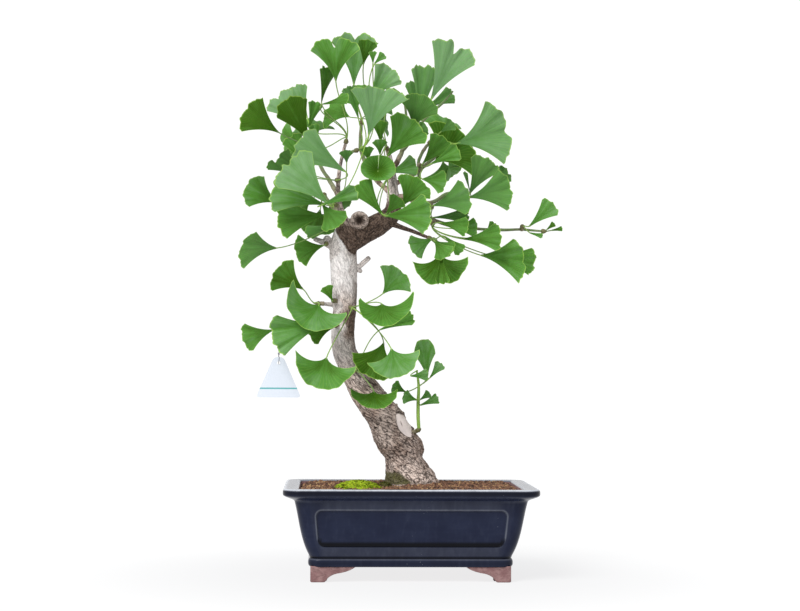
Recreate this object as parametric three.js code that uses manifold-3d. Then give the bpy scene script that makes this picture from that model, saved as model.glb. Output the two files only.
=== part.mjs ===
// Ginkgo bonsai in a glazed oblong pot.
// Millimetres, +Z up, front towards -Y. The origin is under the middle of the whole, on the ground.

import * as THREE from 'three';
import { mergeVertices } from 'three/addons/utils/BufferGeometryUtils.js';
import Module from 'manifold-3d';

const wasm = await Module();
wasm.setup();

// ---------------------------------------------------------------- driving sizes

const GAP = 0.3;                 // between pieces that touch

const RIM_LONG = 260;            // pot, over the rim
const RIM_DEEP = 190;
const RIM_TOP = 95;
const RIM_WIDE = 16;
const RIM_CORNER = 19;
const FEET_HIGH = 15;
const FOOT = { long: 47, thick: 17, flat: 15, inset: 28.2 };
const FLOOR_TOP = 24;            // inside of the pot
const PANEL_LOW = 36.4;          // recessed panels in the four walls
const PANEL_TOP = 73;
const PANEL_DEEP = 2.2;
const DRAIN_R = 10;
const DRAIN_X = 58;
const SOIL_TOP = 93;             // under the moss
const SOIL_DIP = 4;              // lower along the pot's walls
const ROOT_R = 29;               // the trunk's buried stump
const ROOT_DEEP = 38;
const MOSS_AT = [-54, -50];
const MOSS_SIZE = [24, 16, 6.5];
const PATCH_AT = [-26, -23];
const PATCH_SIZE = [7.5, 6.5, 6];
const MOSS_SEAT = 17;            // soil kept level this far around it

const BLADE = 0.8;               // leaf thickness
const STALK_W = 1.6;             // leaf stalk, across the blade
const STALK_T = 1.3;             // and through it
const CAP_R = 2.6;               // green bud that a spray grows from
const CAP_LONG = 4;

const TAG_LOW = 47;              // hang tag, across its lower edge
const TAG_TOP = 10;
const TAG_HIGH = 42;
const TAG_THICK = 0.8;
const TAG_HOLE_R = 1.8;
const TAG_HOLE_DOWN = 6;
const THREAD_R = 0.45;
const THREAD_LONG = 27;

// Places in the crown are laid out in the front view, from an eye 2 m in front of the pot:
// x and z are where a point is seen on the plane y = 0, and y slides it along the line of sight.
const EYE = new THREE.Vector3(-85, -1995, 217);

function place(x, z, y = 0) {
  const seen = new THREE.Vector3(x, 0, z);
  return EYE.clone().lerp(seen, (y - EYE.y) / -EYE.y);
}

// A repeatable random number from 0 to 1
function seeded(seed) {
  let state = seed;
  return () => {
    state = (state * 16807) % 2147483647;
    return state / 2147483647;
  };
}

// ---------------------------------------------------------------- solids

function geometryOf(points, faces) {
  const geometry = new THREE.BufferGeometry();
  const numbers = points.flatMap((p) => p.toArray());
  geometry.setAttribute('position', new THREE.Float32BufferAttribute(numbers, 3));
  geometry.setIndex(faces.flat());
  return geometry;
}

function solid(geometry) {
  const bare = geometry.clone();
  bare.deleteAttribute('normal');
  bare.deleteAttribute('uv');
  const merged = mergeVertices(bare, 1e-4);
  return new wasm.Manifold(new wasm.Mesh({
    numProp: 3,
    vertProperties: new Float32Array(merged.attributes.position.array),
    triVerts: new Uint32Array(merged.index.array),
  }));
}

function joined(solids) {
  return solids.reduce((all, one) => all.add(one));
}

function geometryFrom(manifold) {
  const mesh = manifold.getMesh();
  const geometry = new THREE.BufferGeometry();
  geometry.setAttribute('position', new THREE.Float32BufferAttribute(mesh.vertProperties, 3));
  geometry.setIndex(new THREE.Uint32BufferAttribute(mesh.triVerts, 1));
  return geometry;
}

// Rings of points joined side by side and closed at both ends
function loft(rings) {
  const points = rings.flat();
  const n = rings[0].length;
  const faces = [];
  for (let k = 0; k + 1 < rings.length; k++) {
    for (let i = 0; i < n; i++) {
      const a = k * n + i;
      const b = k * n + ((i + 1) % n);
      faces.push([a, b, b + n], [a, b + n, a + n]);
    }
  }
  const last = (rings.length - 1) * n;
  for (let i = 1; i + 1 < n; i++) {
    faces.push([0, i + 1, i], [last, last + i, last + i + 1]);
  }
  return geometryOf(points, faces);
}

// Axes across a path, carried along it without twist; up to the height level they lie flat
function framesAlong(points, first, level = 0) {
  const frames = [];
  let across = first.clone();
  points.forEach((point, k) => {
    const before = points[Math.max(k - 1, 0)];
    const after = points[Math.min(k + 1, points.length - 1)];
    const along = after.clone().sub(before).normalize();
    const flat = 1 - THREE.MathUtils.smoothstep(point.z, level, level + 50);
    along.lerp(new THREE.Vector3(0, 0, 1), level > 0 ? flat : 0).normalize();
    across = across.clone().addScaledVector(along, -across.dot(along)).normalize();
    frames.push({ along, across, up: along.clone().cross(across) });
  });
  return frames;
}

// A round limb through the given [x, z, y, radius] stations
function limbPath(stations, steps) {
  const places = stations.map(([x, z, y]) => place(x, z, y));
  const curve = new THREE.CatmullRomCurve3(places, false, 'centripetal');
  const points = [];
  const radii = [];
  for (let k = 0; k <= steps; k++) {
    const t = k / steps;
    points.push(curve.getPoint(t));
    const s = t * (stations.length - 1);
    const low = Math.min(Math.floor(s), stations.length - 2);
    radii.push(THREE.MathUtils.lerp(stations[low][3], stations[low + 1][3], s - low));
  }
  return { points, radii };
}

function limb(stations, sides, steps, shape = () => 1, level = 0) {
  const { points, radii } = limbPath(stations, steps);
  const frames = framesAlong(points, new THREE.Vector3(0.1, 1, 0.2), level);
  const rings = points.map((point, k) => Array.from({ length: sides }, (_, i) => {
    const turn = (i / sides) * 2 * Math.PI;
    const r = radii[k] * shape(turn, k / steps);
    return point.clone()
      .addScaledVector(frames[k].across, r * Math.cos(turn))
      .addScaledVector(frames[k].up, r * Math.sin(turn));
  }));
  return solid(loft(rings));
}

// ---------------------------------------------------------------- pot

function roundedOblong(halfX, halfY, r) {
  const shape = new THREE.Shape();
  shape.moveTo(halfX, -halfY + r);
  shape.lineTo(halfX, halfY - r);
  shape.absarc(halfX - r, halfY - r, r, 0, Math.PI / 2);
  shape.lineTo(-halfX + r, halfY);
  shape.absarc(-halfX + r, halfY - r, r, Math.PI / 2, Math.PI);
  shape.lineTo(-halfX, -halfY + r);
  shape.absarc(-halfX + r, -halfY + r, r, Math.PI, 1.5 * Math.PI);
  shape.lineTo(halfX - r, -halfY);
  shape.absarc(halfX - r, -halfY + r, r, 1.5 * Math.PI, 2 * Math.PI);
  return shape;
}

// The oblong at each [height, inset from the rim, corner radius], lofted
function oblongLoft(levels, steps) {
  return solid(loft(levels.map(([z, inset, r]) => {
    const outline = roundedOblong(RIM_LONG / 2 - inset, RIM_DEEP / 2 - inset, r);
    const points = outline.getPoints(steps);
    points.pop();                // the last repeats the first
    return points.map((p) => new THREE.Vector3(p.x, p.y, z));
  })));
}

// Height, inset from the rim and corner radius: base ring, leaning wall, rolled rim
const POT_PROFILE = [
  [15.4, 27.5, 12],
  [20, 25.7, 13],
  [24.4, 27.5, 12],
  [28, 26, 12],
  [39, 21.5, 13],
  [52, 17.9, 14],
  [70, 14.4, 15],
  [82, 11.7, 16],
  [85.5, 6, 17.5],
  [88.5, 0, RIM_CORNER],
  [93.2, 0, RIM_CORNER],
  [RIM_TOP, 2, 17.5],
];

const INSIDE = 14.5;             // the inner wall leans in by this much at the floor

function potHollow() {
  return oblongLoft([
    [FLOOR_TOP, RIM_WIDE + INSIDE, 8],
    [80, RIM_WIDE + 4, 7],
    [RIM_TOP + 5, RIM_WIDE, 5],
  ], 1);
}

// A polygon with its corners rounded off, the curve reaching so far along each side
function rounded(corners, reach) {
  const points = corners.map(([x, y]) => new THREE.Vector2(x, y));
  const shape = new THREE.Shape();
  points.forEach((corner, i) => {
    const before = points.at(i - 1).clone().sub(corner).setLength(reach).add(corner);
    const after = points[(i + 1) % points.length].clone().sub(corner).setLength(reach).add(corner);
    if (i === 0) {
      shape.moveTo(before.x, before.y);
    } else {
      shape.lineTo(before.x, before.y);
    }
    shape.quadraticCurveTo(corner.x, corner.y, after.x, after.y);
  });
  shape.closePath();
  return shape;
}

// A recessed panel in one long side (or, turned, one short side)
function panel(halfTop, halfLow, side, turn) {
  const shape = rounded([
    [-halfLow, PANEL_LOW],
    [halfLow, PANEL_LOW],
    [halfTop, PANEL_TOP],
    [-halfTop, PANEL_TOP],
  ], 6);
  const slab = new THREE.ExtrudeGeometry(shape, { depth: 30, bevelEnabled: false, curveSegments: 3 });
  // the slab's inner face leans with the wall, 2 mm below its surface
  slab.rotateX(Math.PI / 2);
  const points = slab.attributes.position;
  for (let i = 0; i < points.count; i++) {
    const z = points.getZ(i);
    const wall = side - 21.5 + (z - 39) * 0.215;
    const outer = points.getY(i) < -15;
    points.setY(i, outer ? -side - 10 : -wall + PANEL_DEEP);
  }
  slab.rotateZ(turn);
  return solid(slab);
}

// One arm of a foot: 15 mm flat below, then a sweep back up to the pot's underside
function footArm() {
  const { long, thick, flat } = FOOT;
  const top = FEET_HIGH + 1.4;   // sunk into the pot
  const shape = new THREE.Shape();
  shape.moveTo(0, 0);
  shape.lineTo(flat, 0);
  shape.quadraticCurveTo(flat + 3, 7, flat + 13, 9);
  shape.quadraticCurveTo(flat + 25, 10.5, long, top);
  shape.lineTo(0, top);
  const arm = new THREE.ExtrudeGeometry(shape, { depth: thick, bevelEnabled: false, curveSegments: 4 });
  arm.rotateX(Math.PI / 2);
  arm.translate(0, thick, 0);
  return arm;
}

// A bracket foot: two arms square to each other, turned to stand under one corner
function foot(signX, signY, turn) {
  const arms = [footArm(), footArm()];
  arms[1].rotateZ(Math.PI / 2);
  arms[1].translate(FOOT.thick, 0, 0);
  return joined(arms.map((arm) => {
    arm.rotateZ(turn);
    arm.translate(signX * (RIM_LONG / 2 - FOOT.inset), signY * (RIM_DEEP / 2 - FOOT.inset), 0);
    return solid(arm);
  }));
}

function cylinder(r, low, high, x, y, sides = 12) {
  const geometry = new THREE.CylinderGeometry(r, r, high - low, sides);
  geometry.rotateX(Math.PI / 2);
  geometry.translate(x, y, (low + high) / 2);
  return solid(geometry);
}

function buildPot() {
  let pot = oblongLoft(POT_PROFILE, 2).subtract(potHollow());
  const sideX = RIM_LONG / 2;
  const sideY = RIM_DEEP / 2;
  pot = pot.subtract(panel(96.4, 93.3, sideY, 0));
  pot = pot.subtract(panel(96.4, 93.3, sideY, Math.PI));
  pot = pot.subtract(panel(61.4, 58.3, sideX, Math.PI / 2));
  pot = pot.subtract(panel(61.4, 58.3, sideX, -Math.PI / 2));
  for (const x of [-DRAIN_X, DRAIN_X]) {
    pot = pot.subtract(cylinder(DRAIN_R, 0, FLOOR_TOP + 1, x, 0));
  }
  [[-1, -1], [1, -1], [1, 1], [-1, 1]].forEach(([signX, signY], quarter) => {
    pot = pot.add(foot(signX, signY, quarter * Math.PI / 2));
  });
  return pot;
}

// ---------------------------------------------------------------- soil, moss and drain screens

const SCREEN = { side: 28, thick: 1.2, holes: 2, bar: 4 };

function slab(wide, deep, high, x, y, z) {
  const geometry = new THREE.BoxGeometry(wide, deep, high);
  geometry.translate(x, y, z + high / 2);
  return solid(geometry);
}

function buildScreen(x) {
  const { side, thick, holes, bar } = SCREEN;
  const low = FLOOR_TOP + GAP;
  const pitch = (side - bar) / holes;
  const bars = [];
  for (let i = 0; i <= holes; i++) {
    const away = (i - holes / 2) * pitch;
    bars.push(slab(bar, side, thick, x + away, 0, low), slab(side, bar, thick, x, away, low));
  }
  return joined(bars);
}

function soilHeight(x, y) {
  const rise = 4 * Math.exp(-(((x - 4) / 60) ** 2) - ((y / 45) ** 2));
  const underMoss = [[MOSS_AT, MOSS_SIZE], [PATCH_AT, PATCH_SIZE]].some(([at, size]) => (
    Math.hypot((x - at[0]) / (size[0] + MOSS_SEAT), (y - at[1]) / (size[1] + MOSS_SEAT)) < 1));
  const ridges = Math.sin(1.31 * x + 2.1 * Math.sin(0.83 * y));
  const lumps = ridges * Math.sin(1.17 * y + 1.7 * Math.sin(0.71 * x));
  const toWall = Math.min(RIM_LONG / 2 - Math.abs(x), RIM_DEEP / 2 - Math.abs(y)) - RIM_WIDE;
  const dip = SOIL_DIP * (1 - THREE.MathUtils.smoothstep(toWall, 0, 12));
  return underMoss ? SOIL_TOP : SOIL_TOP + rise + 1.3 * lumps - dip;
}

function buildSoil() {
  const across = 20;
  const deep = 13;
  const halfX = RIM_LONG / 2;
  const halfY = RIM_DEEP / 2;
  // a block with a granular top, cut to the pot's inside
  const block = new THREE.BoxGeometry(2 * halfX, 2 * halfY, 1, across, deep, 1);
  const points = block.attributes.position;
  for (let i = 0; i < points.count; i++) {
    const x = points.getX(i);
    const y = points.getY(i);
    points.setZ(i, points.getZ(i) > 0 ? soilHeight(x, y) : 0);
  }
  const fill = oblongLoft([
    [FLOOR_TOP + GAP + SCREEN.thick + GAP, RIM_WIDE + INSIDE + GAP, 8],
    [80, RIM_WIDE + 4 + GAP, 7],
    [RIM_TOP + 15, RIM_WIDE - 2.6 + GAP, 5],
  ], 1);
  const hole = cylinder(ROOT_R + 1.2, SOIL_TOP - ROOT_DEEP - GAP, 130, 4, 0, 18);
  return solid(block).intersect(fill).subtract(hole);
}

// A low dome of moss with a lumpy skin
function dome(x, y, z, [rx, ry, high], seed) {
  const sides = 14;
  const levels = 5;
  const phase = 6 * seeded(seed)();
  const rings = [];
  for (let k = 0; k <= levels; k++) {
    const tilt = (k / levels) * Math.PI / 2;
    rings.push(Array.from({ length: sides }, (_, i) => {
      const turn = (i / sides) * 2 * Math.PI;
      const bump = 1 + 0.09 * Math.sin(3 * turn + phase) + 0.07 * Math.sin(5 * turn + 9 * tilt);
      const r = Math.max(Math.cos(tilt), 0.1) * bump;
      return new THREE.Vector3(
        x + rx * r * Math.cos(turn),
        y + ry * r * Math.sin(turn),
        z + high * Math.sin(tilt),
      );
    }));
  }
  return solid(loft(rings));
}

// ---------------------------------------------------------------- wood

// Stations are [x, z, y, radius]
const TRUNK = [
  [4, SOIL_TOP - ROOT_DEEP, 0, ROOT_R - 6],
  [4, 78, 0, ROOT_R - 1],
  [3.5, 97, 0, ROOT_R],
  [1.7, 104.5, 0, 26.2],
  [-2.2, 115.8, 0, 22.2],
  [-5.7, 123.3, 0, 19.6],
  [-9.5, 132, 0, 24.4],
  [-12.6, 140, 0, 25.2],
  [-16, 149, 0, 23.6],
  [-22, 160.5, 0, 21.2],
  [-32, 174, 0, 19.4],
  [-42, 187, 0, 16.4],
  [-51, 200, 0, 14.8],
  [-57.5, 212, 0, 14],
  [-63, 223, 0, 13],
  [-68, 234, 0, 12.4],
  [-70, 250, 0, 12.2],
  [-69.5, 262, 0, 12.2],
  [-68, 281, 0, 12.2],
  [-68.5, 301, 0, 13.4],
  [-69.5, 322, 0, 14.2],
  [-70, 342, 0, 14.4],
  [-66, 358, 0, 13.8],
  [-62, 368, 0, 9],
];

const TRUNK_LEVEL = 155;         // the trunk swells and narrows in level rings up to here

const BOUGHS = {
  right: [[-64, 350, 0, 13], [-49, 360, 2, 13.5], [-33, 368, 4, 12], [-19, 380, 6, 9.6],
    [-18.5, 406, 6, 5.8], [-19.5, 425, 4, 4], [-22.5, 441, 2, 2.8]],
  leader: [[-56, 350, -9, 6], [-66, 367, -10, 4.8], [-74, 386, -7, 3.4], [-76, 404, -3, 2.6],
    [-74, 428, 0, 2.1], [-70, 446, 0, 1.9], [-68, 454, 0, 1.8]],
  lowRight: [[-26, 372, 2, 4.4], [-12, 366, 0, 2.8], [2.5, 361, -4, 2.2], [14, 356.5, -8, 1.9],
    [20, 354, -10, 1.8]],
  midRight: [[-18.5, 397, 6, 3.8], [-2, 397, 4, 2.6], [21, 391, 0, 2.2], [41, 401, 0, 1.9],
    [57, 398.5, -1, 1.8]],
  upRight: [[-19.5, 422, 4, 3.2], [-8, 446, 4, 2.2], [0, 462, 4, 1.9]],
  inner: [[0, 397, 4, 2.4], [9, 414, 0, 2], [9, 435, 2, 1.8], [15, 448, 4, 1.7], [20, 454, 3, 1.7]],
  long: [[0, 396, 4, 2.4], [11, 381, 8, 2.2], [26, 372.5, 8, 2], [48, 366, 6, 1.8], [71, 364, 4, 1.6],
    [95, 363, 2, 1.5], [118, 363.5, 0, 1.4], [140, 362, 0, 1.2]],
  leftTwig: [[-74, 425, 0, 2], [-82, 435, -3, 1.7], [-87, 438.5, -5, 1.6]],
  spurTwig: [[-71, 440, 0, 1.8], [-62, 444, -3, 1.6], [-57.5, 445.5, -6, 1.6]],
  topTwig: [[-7, 447, 4, 2], [4, 461, 12, 1.6], [14, 478, 13, 1.5], [34, 497, 10, 1.3], [44.5, 509, 8, 1]],
  tipTwig: [[-9, 444, 4, 2.4], [-4, 470, 8, 1.5], [-7, 503, 10, 1]],
  deadLeft: [[-76, 340, 0, 5], [-84, 345, -1, 3.6], [-100, 352, -3, 2.8]],
  deadRight: [[-60, 318, 0, 4], [-54, 322.5, 0, 2.8], [-43, 332.5, 0, 2.7]],
  greyStub: [[-72, 281, 0, 4], [-82, 283, -1, 2.4], [-92, 284, -3, 2]],
  backLeft: [[-76, 398, -3, 2.6], [-84, 412, 18, 2.2], [-96, 432, 36, 1.9], [-100, 452, 47, 1.8]],
  backMid: [[-22, 402, 6, 3], [-40, 420, 22, 2.4], [-52, 446, 34, 2], [-52, 474, 42, 1.8]],
  backRight: [[-18, 410, 6, 3], [2, 420, 24, 2.4], [22, 436, 42, 2], [32, 446, 52, 1.8]],
  backLow: [[-72, 381, -7, 2.6], [-84, 388, 15, 2.1], [-90, 398, 28, 1.8]],
};

// Bark: broad flutes that start above the soil and run out up the trunk
function bark(turn, t) {
  const fade = THREE.MathUtils.smoothstep(t, 0.09, 0.16) * Math.max(0, 1 - 1.5 * t);
  const flutes = 0.05 * Math.sin(5 * turn + 7 * t) + 0.035 * Math.sin(9 * turn - 11 * t);
  return 1 + fade * (flutes + 0.02 * Math.sin(3 * turn + 40 * t));
}

function knob([x, z, y], r) {
  const ball = new THREE.IcosahedronGeometry(r, r > 5 ? 1 : 0);
  const at = place(x, z, y);
  ball.translate(at.x, at.y, at.z);
  return solid(ball);
}

const KNOBS = [
  [[-87, 352, -4], 4.2],
  [[-52, 318.5, -2], 2.6],
  [[-53, 372, -10], 9],
  [[-17, 177, -6], 4.6],
  [[-80, 268, -2], 4.4],
  [[-49, 352, -6], 5],
];

function buildWood(sprays) {
  const trunk = limb(TRUNK, 12, 23, bark, TRUNK_LEVEL);
  const boughs = Object.values(BOUGHS).map((stations) => limb(stations, stations[0][3] > 6 ? 9 : 5,
    stations.length - 1));
  const knobs = KNOBS.map(([at, r]) => knob(at, r));
  const pegs = sprays.filter((spray) => spray.at).map(peg);
  return joined([trunk, ...boughs, ...knobs, ...pegs]);
}

// The woody spur that carries a spray on the side of a limb
function peg({ from, at }) {
  return rod(place(...from), place(...at), 2.4, 2.2, 5);
}

// Where a spray's green bud stands, a hair off the end of its bough or its own woody spur
function budFoot({ on, from, at }) {
  const [root, tip] = on ? boughEnd(BOUGHS[on]) : [place(...from), place(...at)];
  const along = tip.clone().sub(root).normalize();
  return { foot: tip.addScaledVector(along, GAP), along };
}

// The last two points that a bough's limb passes through
function boughEnd(stations) {
  const { points } = limbPath(stations, stations.length - 1);
  return points.slice(-2);
}

// ---------------------------------------------------------------- leaves

function rod(a, b, r0, r1, sides) {
  const [start] = framesAlong([a, b], new THREE.Vector3(0.3, 0.8, 0.5));
  const ring = (point, r) => Array.from({ length: sides }, (_, i) => {
    const turn = (i / sides) * 2 * Math.PI;
    return point.clone()
      .addScaledVector(start.across, r * Math.cos(turn))
      .addScaledVector(start.up, r * Math.sin(turn));
  });
  return solid(loft([ring(a, r0), ring(b, r1)]));
}

const DEG = Math.PI / 180;
const FUNNEL = 0.55;             // how steeply a funnel's blade rises from its throat

// The blade's own axes: along its midline, across it, and the way its face looks.
// aim turns it in the front view (0 right, 90 up), lean brings its edge forward,
// and roll turns it about the midline.
function bladeAxes(aim, lean, roll) {
  const [a, l, r] = [aim * DEG, lean * DEG, roll * DEG];
  const outward = new THREE.Vector3(Math.cos(a), 0, Math.sin(a));
  const forward = new THREE.Vector3(0, -1, 0);
  const along = outward.clone().multiplyScalar(Math.cos(l)).addScaledVector(forward, Math.sin(l));
  const level = forward.multiplyScalar(Math.cos(l)).addScaledVector(outward, -Math.sin(l));
  const side = along.clone().cross(level);
  const face = level.multiplyScalar(Math.cos(r)).addScaledVector(side, Math.sin(r));
  return { along, face, across: along.clone().cross(face) };
}

// The margin's distance from the base, as a share of the blade's length
function margin(leaf, u, v) {
  const corner = 0.08 * Math.abs(u) ** 5;
  const waves = 0.018 * Math.sin(9 * u + leaf.phase) + 0.012 * Math.sin(17 * u + 2 * leaf.phase);
  const cut = leaf.notch * Math.exp(-((u / 0.11) ** 2)) * Math.max(0, 2 * v - 1);
  return (1 - corner + waves * v - cut - leaf.flat * (1 - u * u)) * (1 + leaf.skew * u);
}

// A point of the fan-shaped blade: u from edge to edge (-1 to 1), v from the stalk to the margin (0 to 1)
function bladePoint(leaf, u, v) {
  const { long, spread, cup, droop } = leaf;
  // a fan opens as it widens, and a leaf that goes all round stands open as a funnel
  const funnel = spread > 150;
  const fan = spread * DEG * (funnel ? 1 : 0.35 + 0.65 * v ** 0.8);
  const r = long * v * margin(leaf, u, v);
  const x = r * Math.sin(fan * u) + (STALK_W / 2) * u * (1 - v);
  const y = r * Math.cos(fan * u);
  // roll the fan up across its width
  const half = long * v * Math.sin(Math.min(fan, Math.PI / 2)) + (STALK_W / 2) * (1 - v) + 0.01;
  const turn = Math.max(Math.abs(cup), 0.5) * DEG * (0.4 + 0.6 * v);
  const sx = (half / turn) * Math.sin(turn * x / half);
  const sz = Math.sign(cup || 1) * (half / turn) * (1 - Math.cos(turn * x / half));
  // and bend it along its length
  const bend = droop * DEG * (y / long) + 1e-6;
  const arm = y / bend;
  const ripple = 0.035 * long * v * v * Math.sin(5 * u + leaf.phase);
  const lift = sz + ripple + (funnel ? FUNNEL * r : 0);
  const along = arm * Math.sin(bend) + lift * Math.sin(bend);
  const out = -arm * (1 - Math.cos(bend)) + lift * Math.cos(bend);
  return leaf.base.clone()
    .addScaledVector(leaf.axes.across, sx)
    .addScaledVector(leaf.axes.along, along)
    .addScaledVector(leaf.axes.face, out);
}

// The same point on the upper (side 1) or lower (side -1) face
function skinPoint(leaf, u, v, side) {
  const step = 0.02;
  const du = bladePoint(leaf, u + step, v).sub(bladePoint(leaf, u - step, v));
  const dv = bladePoint(leaf, u, v + step).sub(bladePoint(leaf, u, v - step));
  const normal = du.cross(dv).normalize();
  return bladePoint(leaf, u, v).addScaledVector(normal, side * BLADE / 2);
}

// The stalk's points, from the blade's base back to its root
function stalkPath(leaf) {
  const reach = leaf.base.clone().sub(leaf.root);
  const far = reach.length();
  const arrive = leaf.axes.along.clone().addScaledVector(reach, 0.7 / far).normalize();
  const stalk = new THREE.CubicBezierCurve3(
    leaf.root,
    leaf.root.clone().addScaledVector(leaf.leave, 0.35 * far),
    leaf.base.clone().addScaledVector(arrive, -0.35 * far),
    leaf.base,
  );
  return stalk.getPoints(far > 50 ? 3 : 2).reverse();
}

// Stalk and blade as one closed skin: four-cornered rings along the stalk, then two rows of the fan
function leafSolid(leaf) {
  const wide = leaf.long > 56 || leaf.cup > 60 || leaf.spread > 90;
  const n = wide ? 8 : leaf.long > 35 ? 6 : 4;
  const path = stalkPath(leaf);
  const steps = path.length - 1;
  const frames = framesAlong(path, leaf.axes.across);
  const points = [];
  const faces = [];
  const ring = (point, across, up, w, t) => {
    for (const [i, j] of [[-1, 1], [1, 1], [1, -1], [-1, -1]]) {
      points.push(point.clone().addScaledVector(across, i * w / 2).addScaledVector(up, j * t / 2));
    }
  };
  // rings from the stalk's root to the blade's base
  for (let k = steps; k > 0; k--) {
    ring(path[k], frames[k].across, frames[k].up, STALK_W, STALK_T);
  }
  ring(leaf.base, leaf.axes.across, leaf.axes.face, STALK_W, BLADE);
  faces.push([0, 2, 1], [0, 3, 2]);
  for (let k = 0; k < steps; k++) {
    for (let i = 0; i < 4; i++) {
      const a = 4 * k + i;
      const b = 4 * k + ((i + 1) % 4);
      faces.push([a, b, b + 4], [a, b + 4, a + 4]);
    }
  }
  const base = 4 * steps;
  // rows of the fan: upper face left to right, then lower face left to right
  const rows = [0.5, 1].map((v) => {
    const start = points.length;
    for (const side of [1, -1]) {
      for (let i = 0; i <= n; i++) {
        points.push(skinPoint(leaf, (2 * i) / n - 1, v, side));
      }
    }
    return start;
  });
  const face = (a, b, c, upper) => faces.push(upper ? [a, b, c] : [a, c, b]);
  for (const upper of [true, false]) {
    const left = upper ? base : base + 3;
    const right = upper ? base + 1 : base + 2;
    const row = rows.map((start) => start + (upper ? 0 : n + 1));
    for (let i = 0; i < n; i++) {
      const near = i < n / 2 ? left : right;
      face(near, row[0] + i + 1, row[0] + i, upper);
      if (i < n / 2) {
        face(row[0] + i, row[0] + i + 1, row[1] + i, upper);
        face(row[0] + i + 1, row[1] + i + 1, row[1] + i, upper);
      } else {
        face(row[0] + i, row[1] + i + 1, row[1] + i, upper);
        face(row[0] + i, row[0] + i + 1, row[1] + i + 1, upper);
      }
    }
    face(left, right, row[0] + n / 2, upper);
  }
  // the two side edges and the margin
  const edge = (a, b, c, d) => faces.push([a, b, c], [a, c, d]);
  const [r0, r1] = rows;
  edge(base, r0, r0 + n + 1, base + 3);
  edge(r0, r1, r1 + n + 1, r0 + n + 1);
  edge(base + 2, r0 + 2 * n + 1, r0 + n, base + 1);
  edge(r0 + 2 * n + 1, r1 + 2 * n + 1, r1 + n, r0 + n);
  for (let i = 0; i < n; i++) {
    edge(r1 + i, r1 + i + 1, r1 + n + 2 + i, r1 + n + 1 + i);
  }
  return solid(geometryOf(points, faces));
}

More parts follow.
